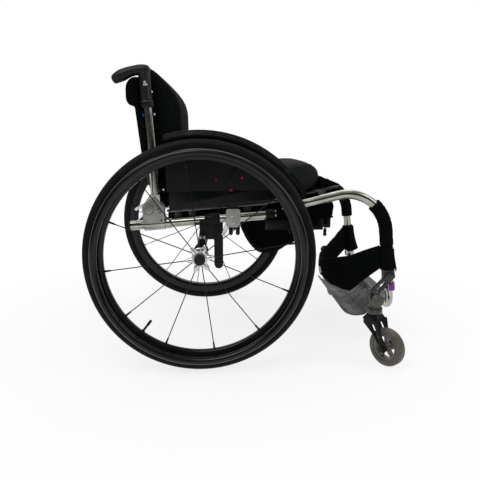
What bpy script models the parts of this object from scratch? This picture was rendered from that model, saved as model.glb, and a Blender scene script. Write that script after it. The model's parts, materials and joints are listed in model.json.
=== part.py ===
# Active wheelchair with a rigid frame: two cambered rear wheels with handrims, two swivelling
# casters, a back that folds forward onto the seat, scissor brakes and a sling seat with cushions.
# Metres. +X is forward, +Y is the sitter's left, +Z is up. The group "chair" puts the middle of
# the footprint at the origin; inside it X is measured from the rear axle and Z from the floor.
import math

import bmesh
import bpy
from mathutils import Matrix, Vector

# Clearances
GAP = 0.0003               # between pieces that touch

# Width of the frame and place of the wheels
SEAT_WIDTH = 0.46          # over the two side tubes
TUBE_R = 0.0125            # side tubes and back posts
HUB_OUT = 0.0825           # wheel hub outboard of the side tube
CAMBER = math.radians(3)

# Rear wheel
WHEEL_R = 0.295
TYRE_R = 0.0125
RIM_DEPTH = 0.0275
RIM_HALF = 0.0108
HANDRIM_R = 0.0095
HANDRIM_IN = 0.0220        # handrim's centre line inside the tyre's centre line
HANDRIM_OUT = 0.036        # handrim outboard of the wheel's middle plane
HANDRIM_TABS = 6
TAB_R = 0.004
TAB_START = math.radians(-34)
SPOKES = 12
SPOKE_R = 0.0015
SPOKE_SEAT = 0.003         # spoke's end inside its lug or flange
SPOKE_START = math.radians(8)
SPOKE_END_R = 0.0019       # at the nipple
VALVE_R = 0.003
VALVE_LENGTH = 0.036
VALVE_ANGLE = math.radians(-128)
WHEEL_SIDES = 36
HUB_SIDES = 14

# Hub and quick-release axle, along the wheel's own axis
HUB_IN = 0.030
HUB_END = 0.0335
HUB_R = 0.011
FLANGE_R = 0.022
FLANGE_IN = 0.016          # inner flange's middle, inboard
FLANGE_THICK = 0.008
LUG_R = 0.0275
LUG_WIDTH = 0.010
LUG_OUT = 0.024            # lugs' middle, outboard
LUG_THICK = 0.010
HUB_RING_R = 0.018
PIN_R = 0.00635
PIN_IN = 0.045
BUTTON_R = 0.0142
BUTTON_THICK = 0.0055
BUTTON_TRAVEL = 0.005
STEM_R = 0.004
STEM_IN = 0.010            # stem inside the pin when the button is out
STEM_BORE = 0.020

# Side tubes: route in x and z, with the bend at each corner
SIDE_REAR_X = -0.184
SEAT_LINE_Z = 0.3767       # height of the straight tube over the axle
SEAT_LINE_SLOPE = 0.0733
SIDE_KINK_X = 0.21
SIDE_RISE = (0.262, 0.4165)
FRONT_BEND_Z = 0.4695
LEG_X = 0.503              # front leg's line: x at the height LEG_Z
LEG_Z = 0.31
LEG_SLOPE = 0.108
LEG_END_Z = 0.19
KINK_RADIUS = 0.06
RISE_RADIUS = 0.10
BEND_RADIUS = 0.11

# Cross tubes and camber tube
CROSS_R = 0.011
CROSS_X = -0.165
CAMBER_R = 0.014
CAMBER_BORE = 0.0105
CAMBER_OUT = 0.034         # camber tube's end outboard of the side tube
SOCKET_R = 0.0165
SOCKET_LENGTH = 0.0163

# Axle brackets
BRACKET_HALF = 0.013
SLEEVE_R = 0.0185
SLEEVE_X = (0.011, 0.051)
BOSS_R = 0.019
BLOCK_FOOT_Z = 0.327       # foot of the block over the axle

# Back
PIVOT_X = -0.1336
PIVOT_Z = 0.4064
POST_AHEAD = 0.0194        # post's line ahead of the pivot at the pivot's height
POST_LEAN = 0.0655
POST_FOOT_Z = 0.435
POST_TOP_DROP = 0.0385     # post's end below the handle's line
BLOCK_HALF = 0.0125
BLOCK_R = 0.019
CHEEK_THICK = 0.0057
CHEEK_GAP = 0.0008
PIVOT_PIN_R = 0.005
COLLAR_R = 0.0175
COLLAR_DROP = (0.0845, 0.0664)
HANDLE_SLEEVE_R = 0.0155
HANDLE_Z = 0.7500
HANDLE_LINE = ((-0.1215, 0.0060, 0.0070), (-0.1265, 0.0064, 0.0116), (-0.1342, 0.0074, 0.0134),
               (-0.1455, 0.0077, 0.0133), (-0.1606, 0.0058, 0.0126), (-0.1756, 0.0014, 0.0135),
               (-0.1894, -0.0044, 0.0150), (-0.2007, -0.0097, 0.0140), (-0.2105, -0.0155, 0.0115),
               (-0.2145, -0.0175, 0.0060))    # grip from its front to its rear: x, height, radius
PANEL_OUT = 0.0145         # panel's edge outboard of the side tube's centre
PANEL_THICK = 0.010
PANEL_FOOT_Z = 0.50
PANEL_ROLL = ((-0.1720, 0), (-0.1785, 0.0025), (-0.1815, 0.0090), (-0.1815, 0.0240), (-0.1795, 0.0390),
              (-0.1750, 0.0500), (-0.1695, 0.0560), (-0.1600, 0.0585))    # rear of the rolled upper edge
BACK_PROFILE = ((0.535, 0.068), (0.545, 0.088), (0.611, 0.096), (0.6665, 0.099), (0.694, 0.095),
                (0.715, 0.080), (0.7436, 0.054), (0.766, 0.026))   # height, depth
BACK_CROWN = 0.08          # share of the depth that the sides lack
BACK_IN = 0.0275           # back cushion's edge inboard of the side tube's centre

# Seat
RAIL_WIDTH = 0.0152
RAIL_THICK = 0.004
RAIL_CLEAR = 0.0131        # rail's outer edge inboard of the side tube's centre
RAIL_LINE = ((-0.09, 0.400), (0.17, 0.419), (0.29, 0.446), (0.375, 0.464))
RAIL_TABS = (-0.060, -0.022, 0.125, 0.325)
TAB_WIDTH = 0.020
TAB_THICK = 0.003
CUSHION_IN = 0.0225        # cushion's edge inboard of the side tube's centre
CUSHION_REAR_X = -0.085
CUSHION_FRONT_X = 0.322
CUSHION_REAR_TOP = 0.505
CUSHION_FRONT_TOP = 0.528
APRON_IN = 0.0325
APRON_LENGTH = 0.068
APRON_THICK = (0.034, 0.005)    # at its rear and its front edge
POUCH_IN = 0.1125
CORD_R = 0.0015

# Side guards and fenders
GUARD_OUT = 0.0275         # guard's inner face outboard of the side tube's centre
GUARD_THICK = 0.003
GUARD_LIFT = 0.0375        # guard's lower edge over the side tube's line
RECEIVER_WEB_Z = 0.402     # top of the receiver's web, under the guard's notch
FENDER_CLEAR = 0.0065      # over the tyre
FENDER_THICK = 0.015
FENDER_WIDTH = 0.0385
FENDER_FROM = math.radians(29.2)
FENDER_TO = math.radians(106.6)
FENDER_STEPS = 12

# Brakes
BRAKE_X = 0.2425
BRAKE_OUT = 0.0075         # brake pivot outboard of the side tube's centre
BRAKE_Z = 0.348
BRAKE_PIN_R = 0.004
LEVER_LENGTH = 0.150
LEVER_THICK = 0.007
BRAKE_REST = math.radians(40)
SHOE_X = 0.0872
SHOE_OUT = 0.0267

# Front: sleeves, calf strap, footrest
FOAM_THICK = 0.0057
FOAM_FOOT_Z = {-1: 0.3045, 1: 0.322}    # the left sleeve ends higher
FOAM_START_X = 0.462
STRAP_Z = {-1: (0.242, 0.304), 1: (0.242, 0.289)}    # loops on the right and the left leg
STRAP_THICK = 0.004
STRAP_LINE = ((-1, 0.2440, 0.3015), (-0.65, 0.1520, 0.2550), (-0.35, 0.1560, 0.2340), (0, 0.1700, 0.2180),
              (0.35, 0.1720, 0.2190), (0.6, 0.1760, 0.2257), (0.8, 0.1980, 0.2495), (1, 0.2440, 0.2865))
STRAP_BACK_X = 0.37
FOOT_TUBE_R = 0.010
FOOT_RUN_Z = 0.125
FOOT_BEND = 0.045
FRONT_REACH = 0.54         # footplate's tip ahead of the rear axle
FOOTPLATE_IN = 0.0425
FOOTPLATE_THICK = 0.004
FOOT_CLAMP_Y = 0.09
FOOT_CLAMP_R = 0.0135
LEG_CLAMP_R = 0.0165

# Casters
CASTER_X = 0.462
CASTER_OUT = 0.0575        # caster stem outboard of the side tube's centre
CASTER_R = 0.0505
CASTER_WIDTH = 0.024
CASTER_TRAIL = 0.045
CASTER_HEADING = math.radians(55)
ARM_COLLAR_Z = 0.225
ARM_WIDTH = 0.022
HOUSING_Z = 0.170
HOUSING_PIN_R = 0.0135
CUP_R = 0.020
FORK_CROWN_Z = (0.1155, 0.1315)
CROWN_TOP = 0.62            # crown's top, as a share of its foot
FORK_STEM_R = 0.006
FORK_BOLT_R = 0.004
FORK_IN = 0.015            # from the caster's middle plane to a fork leg
FORK_LEG = 0.005

# Back release
RELEASE_X = -0.143
RELEASE_Z = 0.420
RELEASE_CORD_R = 0.002

# Worked out from the sizes above
TUBE_Y = SEAT_WIDTH / 2 - TUBE_R
HUB_Y = TUBE_Y + HUB_OUT
TYRE_LINE = WHEEL_R - TYRE_R
AXLE_Z = TYRE_LINE * math.cos(CAMBER) + TYRE_R
RIM_IN = TYRE_LINE - TYRE_R - RIM_DEPTH
CENTRE_X = (FRONT_REACH - WHEEL_R) / 2
POST_TOP_Z = HANDLE_Z - POST_TOP_DROP
COLLAR_Z = tuple(HANDLE_Z - drop for drop in COLLAR_DROP)
PANEL_HALF = TUBE_Y + PANEL_OUT
BACK_HALF = TUBE_Y - BACK_IN
CUSHION_HALF = TUBE_Y - CUSHION_IN
APRON_HALF = TUBE_Y - APRON_IN
POUCH_HALF = TUBE_Y - POUCH_IN
FOOTPLATE_HALF = TUBE_Y - FOOTPLATE_IN
LEG_DOWN = Vector((LEG_SLOPE, 0, -1)).normalized()
SIDES = ((-1, "right"), (1, "left"))

chair_parts = bpy.data.collections.new("active_wheelchair")


def seat_line(x):
    return SEAT_LINE_Z + SEAT_LINE_SLOPE * x


def leg_line(z):
    return LEG_X + (LEG_Z - z) * LEG_SLOPE


def front_bend():
    return (leg_line(FRONT_BEND_Z), FRONT_BEND_Z)


def post_line(z):
    return PIVOT_X + POST_AHEAD - (z - PIVOT_Z) * POST_LEAN


def rail_line(x):
    for (x0, z0), (x1, z1) in zip(RAIL_LINE, RAIL_LINE[1:]):
        if x <= x1:
            break
    return z0 + (z1 - z0) * (x - x0) / (x1 - x0)


def outside(radius, sides):
    # radius of a polygon whose flats lie at the given radius
    return radius / math.cos(math.pi / sides)


# Making of shapes

def new_thing(data):
    thing = bpy.data.objects.new("shape", data)
    bpy.context.scene.collection.objects.link(thing)
    return thing


def from_bmesh(shape):
    mesh = bpy.data.meshes.new("shape")
    shape.to_mesh(mesh)
    shape.free()
    return new_thing(mesh)


def cone(low_r, high_r, start, end, sides=12):
    start, end = Vector(start), Vector(end)
    shape = bmesh.new()
    bmesh.ops.create_cone(shape, cap_ends=True, segments=sides, radius1=low_r, radius2=high_r,
                          depth=(end - start).length)
    thing = from_bmesh(shape)
    thing.location = (start + end) / 2
    thing.rotation_euler = (end - start).to_track_quat("Z", "Y").to_euler()
    return thing


def rod(radius, start, end, sides=12):
    return cone(radius, radius, start, end, sides)


def bore(radius, start, end, sides=14):
    # a cutter whose flats clear a shaft of the given radius by the gap
    return rod(outside(radius + GAP, sides), start, end, sides)


def block(low, high):
    low, high = Vector(low), Vector(high)
    shape = bmesh.new()
    bmesh.ops.create_cube(shape, size=1, matrix=Matrix.Diagonal((*(high - low), 1)))
    thing = from_bmesh(shape)
    thing.location = (low + high) / 2
    return thing


def meshed(thing):
    # the same shape as a plain closed mesh, in the same place
    bpy.context.view_layer.update()
    graph = bpy.context.evaluated_depsgraph_get()
    mesh = bpy.data.meshes.new_from_object(thing.evaluated_get(graph))
    shape = bmesh.new()
    shape.from_mesh(mesh)
    bmesh.ops.remove_doubles(shape, verts=shape.verts, dist=0.000002)
    bmesh.ops.dissolve_degenerate(shape, edges=shape.edges, dist=0.000002)
    bmesh.ops.recalc_face_normals(shape, faces=shape.faces)
    shape.to_mesh(mesh)
    shape.free()
    new = new_thing(mesh)
    new.matrix_world = thing.matrix_world.copy()
    bpy.data.objects.remove(thing)
    return new


def worked(operation, base, tools):
    for tool in tools:
        step = base.modifiers.new(operation.lower(), "BOOLEAN")
        step.operation = operation
        step.solver = "EXACT"
        step.object = tool
    done = meshed(base)
    for tool in tools:
        bpy.data.objects.remove(tool)
    return done


def fused(base, *others):
    return worked("UNION", base, others)


def cut(base, *cutters):
    return worked("DIFFERENCE", base, cutters)


def turned(profile, sides=16, ring=True):
    # (radius, height) points turned about Z; a ring's profile is a closed loop
    last = len(profile) - 1
    edges = [(i, i + 1) for i in range(last)]
    if ring:
        edges.append((last, 0))
    mesh = bpy.data.meshes.new("profile")
    mesh.from_pydata([(r, 0, z) for r, z in profile], edges, [])
    thing = new_thing(mesh)
    turn = thing.modifiers.new("turn", "SCREW")
    turn.steps = sides
    turn.render_steps = sides
    turn.use_merge_vertices = True
    turn.merge_threshold = 0.00001
    return meshed(thing)


def laid(thing, place, along):
    # a turned shape moved so that its axis runs along the given direction
    thing.location = place
    thing.rotation_euler = Vector(along).to_track_quat("Z", "Y").to_euler()
    return thing


def sweep(route, radius, detail=3, widths=None):
    curve = bpy.data.curves.new("route", "CURVE")
    curve.dimensions = "3D"
    curve.bevel_depth = radius
    curve.bevel_resolution = detail
    curve.use_fill_caps = True
    spline = curve.splines.new("POLY")
    spline.points.add(len(route) - 1)
    for index, (point, place) in enumerate(zip(spline.points, route)):
        point.co = (*place, 1)
        if widths:
            point.radius = widths[index] / radius
    return meshed(new_thing(curve))


def filleted(corners, radii, step=math.radians(16)):
    corners = [Vector(corner) for corner in corners]
    route = [corners[0]]
    for before, corner, after, radius in zip(corners, corners[1:], corners[2:], radii):
        back = (before - corner).normalized()
        on = (after - corner).normalized()
        turn = math.pi - back.angle(on)
        middle = corner + (back + on).normalized() * radius / math.cos(turn / 2)
        start = corner + back * radius * math.tan(turn / 2) - middle
        end = corner + on * radius * math.tan(turn / 2) - middle
        axis = start.cross(end).normalized()
        count = max(2, round(turn / step))
        route += [middle + Matrix.Rotation(turn * i / count, 3, axis) @ start for i in range(count + 1)]
    route.append(corners[-1])
    return route


def smooth_route(points, count):
    # count points on a smooth curve through the given ones
    points = [Vector(point) for point in points]
    ends = [2 * points[0] - points[1], *points, 2 * points[-1] - points[-2]]
    spans = len(points) - 1
    route = []
    for i in range(count):
        along = spans * i / (count - 1)
        k = min(int(along), spans - 1)
        t = along - k
        a, b, c, d = ends[k:k + 4]
        route.append(0.5 * (2 * b + (c - a) * t + (2 * a - 5 * b + 4 * c - d) * t * t
                            + (3 * b - a - 3 * c + d) * t ** 3))
    return route


def flat(outline, thick):
    # a level outline of (x, y) points, centred on its thickness
    curve = bpy.data.curves.new("outline", "CURVE")
    curve.dimensions = "2D"
    curve.fill_mode = "BOTH"
    curve.extrude = thick / 2
    spline = curve.splines.new("POLY")
    spline.points.add(len(outline) - 1)
    for point, (x, y) in zip(spline.points, outline):
        point.co = (x, y, 0, 1)
    spline.use_cyclic_u = True
    return meshed(new_thing(curve))


def plate(outline, low_y, high_y):
    # an upright outline of (x, z) points, as thick as the two y values are apart
    thing = flat(outline, abs(high_y - low_y))
    thing.location.y = (low_y + high_y) / 2
    thing.rotation_euler.x = math.pi / 2
    return thing


def band(line, low_y, high_y, thick):
    # a strip that follows a line in x and z, centred on it
    shape = bmesh.new()
    edges = [[shape.verts.new((x, y, z)) for x, z in line] for y in sorted((low_y, high_y))]
    for i in range(len(line) - 1):
        shape.faces.new((edges[0][i], edges[0][i + 1], edges[1][i + 1], edges[1][i]))
    thing = from_bmesh(shape)
    skin = thing.modifiers.new("skin", "SOLIDIFY")
    skin.thickness = thick
    skin.offset = 0
    skin.use_even_offset = True
    return meshed(thing)


def arc(centre, radius, start, end, steps):
    return [(centre[0] + radius * math.cos(start + (end - start) * i / steps),
             centre[1] + radius * math.sin(start + (end - start) * i / steps)) for i in range(steps + 1)]


def slot_outline(start, end, radius, steps=4):
    # outline of a bar with round ends between two points
    turn = math.atan2(end[1] - start[1], end[0] - start[0])
    return (arc(end, radius, turn - math.pi / 2, turn + math.pi / 2, steps)
            + arc(start, radius, turn + math.pi / 2, turn + 3 * math.pi / 2, steps))


def stuffed(place, cuts=4):
    # a soft closed form: a cube cage whose points the function "place" puts, then subdivided
    shape = bmesh.new()
    bmesh.ops.create_cube(shape, size=2)
    bmesh.ops.subdivide_edges(shape, edges=shape.edges, cuts=cuts, use_grid_fill=True)
    for point in shape.verts:
        point.co = place(*point.co)
    thing = from_bmesh(shape)
    smooth = thing.modifiers.new("soft", "SUBSURF")
    smooth.levels = 1
    smooth.render_levels = 1
    return meshed(thing)


def paint(name, colour, rough, metal=0.0):
    material = bpy.data.materials.new(name)
    material.use_nodes = True
    shader = material.node_tree.nodes["Principled BSDF"]
    shader.inputs["Base Color"].default_value = (*colour, 1)
    shader.inputs["Roughness"].default_value = rough
    shader.inputs["Metallic"].default_value = metal
    return material


def finished(thing, name, material, group):
    thing.name = name
    thing.data.name = name
    thing.data.materials.clear()
    thing.data.materials.append(material)
    thing.data.shade_smooth()
    thing.data.set_sharp_from_angle(angle=math.radians(35))
    thing.parent = group
    bpy.context.scene.collection.objects.unlink(thing)
    chair_parts.objects.link(thing)
    return thing


def group(name, place=(0, 0, 0), parent=None, turn=(0, 0, 0)):
    empty = bpy.data.objects.new(name, None)
    empty.empty_display_size = 0.03
    empty.location = place
    empty.rotation_euler = turn
    empty.parent = parent
    chair_parts.objects.link(empty)
    return empty


def at_y(points, y):
    return [(x, y, z) for x, z in points]


# Frame

def side_tube(side):
    corners = ((SIDE_REAR_X, seat_line(SIDE_REAR_X)), (SIDE_KINK_X, seat_line(SIDE_KINK_X)),
               SIDE_RISE, front_bend(), (leg_line(LEG_END_Z), LEG_END_Z))
    route = filleted(at_y(corners, side * TUBE_Y), (KINK_RADIUS, RISE_RADIUS, BEND_RADIUS))
    return sweep(route, TUBE_R)


def cross_tube():
    half = TUBE_Y - TUBE_R - GAP
    z = seat_line(CROSS_X)
    return rod(CROSS_R, (CROSS_X, -half, z), (CROSS_X, half, z))


def wheel_way(side):
    # outboard direction of the wheel's axis
    return Vector((0, side * math.cos(CAMBER), math.sin(CAMBER)))


def hub_place(side):
    return Vector((0, side * HUB_Y, AXLE_Z))


def camber_tube():
    # a straight tube whose end sockets hold the axle pins at the camber angle
    half = TUBE_Y + CAMBER_OUT
    tube = rod(CAMBER_R, (0, -half - 0.001, AXLE_Z), (0, half + 0.001, AXLE_Z), 16)
    ends = [rod(SOCKET_R, (0, side * half, AXLE_Z), (0, side * (half + SOCKET_LENGTH), AXLE_Z), 16)
            for side, _ in SIDES]
    hollow = rod(CAMBER_BORE, (0, 0.002 - half, AXLE_Z), (0, half - 0.002, AXLE_Z), 14)
    holes = [bore(PIN_R, hub_place(side) - wheel_way(side) * 0.060, hub_place(side)) for side, _ in SIDES]
    return cut(fused(tube, *ends), hollow, *holes)


def axle_bracket(side):
    low, high = side * TUBE_Y - BRACKET_HALF, side * TUBE_Y + BRACKET_HALF
    start, end = SLEEVE_X
    tube_z = seat_line((start + end) / 2)
    sleeve = rod(SLEEVE_R, (start, side * TUBE_Y, seat_line(start)), (end, side * TUBE_Y, seat_line(end)), 16)
    body = block((-0.003, low, BLOCK_FOOT_Z), (0.037, high, tube_z))
    neck = block((-0.005, low + 0.001, AXLE_Z + 0.0055), (0.012, high - 0.001, BLOCK_FOOT_Z + 0.002))
    leg = plate(slot_outline((0.047, tube_z - 0.012), (0.047, AXLE_Z - 0.0375), 0.012),
                side * TUBE_Y - 0.007, side * TUBE_Y + 0.007)
    boss = rod(BOSS_R, (0, low - 0.0005, AXLE_Z), (0, high + 0.0005, AXLE_Z), 16)
    whole = fused(sleeve, body, leg, neck, boss)
    tube_hole = bore(TUBE_R, (start - 0.02, side * TUBE_Y, seat_line(start - 0.02)),
                     (end + 0.02, side * TUBE_Y, seat_line(end + 0.02)))
    axle_hole = bore(CAMBER_R, (0, low - 0.01, AXLE_Z), (0, high + 0.01, AXLE_Z), 16)
    return cut(whole, tube_hole, axle_hole)


def rear_bracket(side):
    y = side * TUBE_Y
    inner = BLOCK_HALF + CHEEK_GAP
    outline = ((-0.149, 0.3704), (-0.0937, 0.373), (-0.095, 0.416), (-0.1198, 0.4417), (-0.150, 0.4193))
    outer_cheek = plate(outline, y + side * inner, y + side * (inner + CHEEK_THICK))
    inner_cheek = plate(outline, y - side * inner, y - side * (inner + CHEEK_THICK))
    sleeve = rod(TUBE_R + 0.004, (-0.149, y, seat_line(-0.149)), (-0.0937, y, seat_line(-0.0937)), 16)
    pin = rod(PIVOT_PIN_R, (PIVOT_X, y - side * (inner + 0.002), PIVOT_Z),
              (PIVOT_X, y + side * (inner + 0.002), PIVOT_Z))
    cover = rod(0.014, (PIVOT_X, y + side * (inner + 0.002), PIVOT_Z),
                (PIVOT_X, y + side * (inner + CHEEK_THICK + 0.0015), PIVOT_Z), 16)
    whole = fused(sleeve, outer_cheek, inner_cheek, pin, cover)
    return cut(whole, bore(TUBE_R, (-0.17, y, seat_line(-0.17)), (-0.07, y, seat_line(-0.07))))


def seat_rail(side):
    outer = TUBE_Y - RAIL_CLEAR
    strip = band(RAIL_LINE, side * (outer - RAIL_WIDTH), side * outer, RAIL_THICK)
    tab_face = TUBE_Y - TUBE_R - GAP
    tabs = []
    for x in RAIL_TABS:
        foot = tube_top(x) - TUBE_R * 1.2
        tabs.append(block_between((x - TAB_WIDTH / 2, side * (tab_face - TAB_THICK), foot),
                                  (x + TAB_WIDTH / 2, side * tab_face, rail_line(x))))
    return fused(strip, *tabs)


def block_between(a, b):
    return block([min(p, q) for p, q in zip(a, b)], [max(p, q) for p, q in zip(a, b)])


def tube_top(x):
    # height of the top of the side tube, ahead of the kink along the rise
    if x <= SIDE_KINK_X:
        return seat_line(x) + TUBE_R
    (x0, z0), (x1, z1) = SIDE_RISE, front_bend()
    return z0 + (z1 - z0) * (x - x0) / (x1 - x0) + TUBE_R


# Seat

def seat_sling():
    half = TUBE_Y - RAIL_CLEAR - RAIL_WIDTH - GAP
    return band(RAIL_LINE, -half, half, RAIL_THICK)


def seat_cushion():
    length = CUSHION_FRONT_X - CUSHION_REAR_X

    def place(u, v, w):
        # u along the seat, v across, w up; the sides draw in between the corners
        pull = 1 - 0.035 * (1 - u * u)
        edge = 1 - 0.10 * abs(w) ** 3
        along = (u * edge * (1 - 0.02 * (1 - v * v)) + 1) / 2
        x = CUSHION_REAR_X + length * along
        across = v * CUSHION_HALF * pull * edge
        bottom = rail_line(x) + RAIL_THICK / 2 + 2 * GAP
        top = CUSHION_REAR_TOP + (CUSHION_FRONT_TOP - CUSHION_REAR_TOP) * along
        crown = 0.010 * (1 - v * v) * (1 - u * u) - 0.012 * max(0, u) ** 6
        return (x, across, bottom + (top + crown - bottom) * (w + 1) / 2)

    return stuffed(place)


def seat_apron():
    start = CUSHION_FRONT_X + 0.0015

    def place(u, v, w):
        # loose cloth in folds that die out towards its thin front edge
        along = (u + 1) / 2
        x = start + APRON_LENGTH * along
        bottom = rail_line(x) + RAIL_THICK / 2 + 2 * GAP
        fold = 0.0035 * math.cos(9 * v + 2 * along) + 0.004 * math.cos(3 * math.pi * along)
        thick = APRON_THICK[0] + (APRON_THICK[1] - APRON_THICK[0]) * along + fold * (1 - along)
        return (x, v * APRON_HALF * (1 - 0.03 * along), bottom + thick * (w + 1) / 2)

    return stuffed(place, 3)


def pouch():
    rear, front = 0.109, 0.368
    under = RAIL_THICK / 2 + 2 * GAP
    outline = ((rear, rail_line(rear) - under), (rear, 0.338), (0.130, 0.290), (0.156, 0.257), (0.185, 0.245),
               (0.215, 0.250), (0.275, 0.285), (0.33, 0.328), (0.378, 0.358), (0.374, 0.400),
               (front, rail_line(front) - under), (0.29, rail_line(0.29) - under),
               (0.17, rail_line(0.17) - under))
    bag = plate(outline, -POUCH_HALF, POUCH_HALF)
    weld = bag.modifiers.new("weld", "WELD")
    weld.merge_threshold = 0.00001
    soft = bag.modifiers.new("soft", "BEVEL")
    soft.width = 0.010
    soft.segments = 2
    soft.limit_method = "ANGLE"
    soft.angle_limit = math.radians(60)
    return meshed(bag)


def drawstring():
    # the cord's end hangs from the pouch's front lip, with a toggle on it
    route = ((0.3783, 0, 0.3780), (0.3789, 0, 0.3680), (0.3802, 0, 0.3520), (0.3805, 0, 0.3380),
             (0.3798, 0, 0.3250), (0.3790, 0, 0.3130))
    cord = sweep(smooth_route(route, 9), CORD_R, 2)
    toggle = cone(0.0045, 0.0035, (0.3790, 0, 0.2960), (0.3790, 0, 0.3150), 12)
    return fused(cord, toggle)


# Side guards

def guard_lower(side):
    y = side * (TUBE_Y + GUARD_OUT)
    flat_share = math.cos((FENDER_TO - FENDER_FROM) / FENDER_STEPS / 2)
    edge = (WHEEL_R + FENDER_CLEAR) * flat_share - GAP
    front = arc((0, AXLE_Z), edge, math.radians(29), math.radians(40.3), 4)
    notch = RECEIVER_WEB_Z + 0.0005
    outline = [(-0.080, seat_line(-0.080) + GUARD_LIFT + 0.006), (-0.073, seat_line(-0.073) + GUARD_LIFT),
               (0.070, seat_line(0.070) + GUARD_LIFT), (0.070, notch), (0.100, notch),
               (0.100, seat_line(0.100) + GUARD_LIFT), (front[0][0] - 0.0046, front[0][1] - 0.0059),
               *front, (-0.080, 0.490)]
    return plate(outline, y, y + side * GUARD_THICK)


def fender(side):
    # the lip over the wheel, made in one piece with the upper plate that is screwed to the guard
    inner_r = WHEEL_R + FENDER_CLEAR
    y0 = TUBE_Y + GUARD_OUT
    steps = (0, 0.0115, 0.0275, FENDER_WIDTH)
    heights = (FENDER_THICK, FENDER_THICK - 0.0055, FENDER_THICK - 0.0105)
    section = [(inner_r, y0)]
    for (start, end), height in zip(zip(steps, steps[1:]), heights):
        section += [(inner_r + height, y0 + start), (inner_r + height, y0 + end)]
    section.append((inner_r, y0 + FENDER_WIDTH))
    lip = swept_arc(section, side, FENDER_FROM, FENDER_TO, FENDER_STEPS)
    y = y0 + GUARD_THICK + GAP
    outline = [(-0.086, 0.455)] + arc((0, AXLE_Z), inner_r + 0.002, math.radians(33), math.radians(106.3), 12)
    upper = plate(outline, side * y, side * (y + GUARD_THICK))
    return fused(lip, upper)


def swept_arc(section, side, start, end, steps):
    # a section of (radius, y) points carried round the wheel's axle, with flat ends
    shape = bmesh.new()
    rings = []
    for i in range(steps + 1):
        turn = start + (end - start) * i / steps
        rings.append([shape.verts.new((r * math.cos(turn), side * y, AXLE_Z + r * math.sin(turn)))
                      for r, y in section])
    count = len(section)
    for low, high in zip(rings, rings[1:]):
        for k in range(count):
            shape.faces.new((low[k], low[(k + 1) % count], high[(k + 1) % count], high[k]))
    shape.faces.new(rings[0])
    shape.faces.new(rings[-1])
    return meshed(from_bmesh(shape))


def guard_receiver(side):
    face = TUBE_Y + TUBE_R + GAP
    slot_in = TUBE_Y + GUARD_OUT - GAP
    slot_out = TUBE_Y + GUARD_OUT + 2 * GUARD_THICK + 2 * GAP + 0.0004
    outer = slot_out + 0.0053
    low, high = 0.0666, 0.1037
    inner = block_between((low + 0.004, side * face, 0.366), (high - 0.004, side * slot_in, 0.4115))
    web = block_between((low + 0.002, side * (face + 0.002), 0.372),
                        (high - 0.002, side * (outer - 0.001), RECEIVER_WEB_Z))
    corners = [(low, 0.370), (low + 0.007, 0.363), (high - 0.007, 0.363), (high, 0.370),
               (high, 0.404), (high - 0.007, 0.411), (low + 0.007, 0.411), (low, 0.404)]
    plate_out = plate(corners, side * slot_out, side * outer)
    prongs = [rod(0.005, (x, side * (slot_out + 0.0025), 0.335), (x, side * (slot_out + 0.0025), 0.366), 10)
              for x in (0.078, 0.098)]
    blade = plate(((0.055, 0.345), (0.061, 0.340), (0.069, 0.352), (0.0745, 0.378), (0.0700, 0.381)),
                  side * (slot_out + 0.001), side * (slot_out + 0.0045))
    return fused(inner, web, plate_out, *prongs, blade)


# Rear wheels, in the wheel's own frame: Z outboard along the axle

def tyre():
    loop = []
    for i in range(7):
        turn = math.radians(130 - 260 * i / 6)
        loop.append((TYRE_LINE + TYRE_R * math.cos(turn), TYRE_R * math.sin(turn)))
    seat = TYRE_LINE - TYRE_R + GAP
    loop += [(seat, -0.0092), (seat, 0.0092)]
    return turned(loop, WHEEL_SIDES)


def rim_and_valve():
    seat = TYRE_LINE - TYRE_R
    half = ((seat, 0.0100), (seat - 0.006, RIM_HALF), (seat - 0.014, RIM_HALF - GAP), (RIM_IN, 0.0060))
    loop = [*half, *[(r, -z) for r, z in reversed(half)]]
    way = Vector((math.cos(VALVE_ANGLE), math.sin(VALVE_ANGLE), 0))
    valve = rod(VALVE_R, way * (RIM_IN - VALVE_LENGTH), way * (RIM_IN + 0.004), 10)
    return fused(turned(loop, WHEEL_SIDES), valve)


def handrim():
    middle = TYRE_LINE - HANDRIM_IN
    turns = [-math.pi / 3 * i for i in range(6)]
    loop = [(middle + HANDRIM_R * math.cos(turn), HANDRIM_OUT + HANDRIM_R * math.sin(turn))
            for turn in turns]
    hoop = turned(loop, WHEEL_SIDES)
    tabs = []
    for k in range(HANDRIM_TABS):
        turn = TAB_START + 2 * math.pi * k / HANDRIM_TABS
        x, y = middle * math.cos(turn), middle * math.sin(turn)
        tabs.append(rod(TAB_R, (x, y, RIM_HALF + GAP), (x, y, HANDRIM_OUT - HANDRIM_R * 0.5), 6))
    return fused(hoop, *tabs)


def spoke(k):
    # a spoke from a lug or the inner flange to the rim
    turn = SPOKE_START + 2 * math.pi * k / SPOKES
    way = Vector((math.cos(turn), math.sin(turn), 0))
    if k % 2:
        start = way * (FLANGE_R - SPOKE_SEAT) - Vector((0, 0, FLANGE_IN))
    else:
        start = way * (LUG_R - SPOKE_SEAT) + Vector((0, 0, LUG_OUT))
    end = way * (RIM_IN * math.cos(math.pi / WHEEL_SIDES) - 2 * GAP)
    return cone(SPOKE_R, SPOKE_END_R, start, end, 5)


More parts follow.
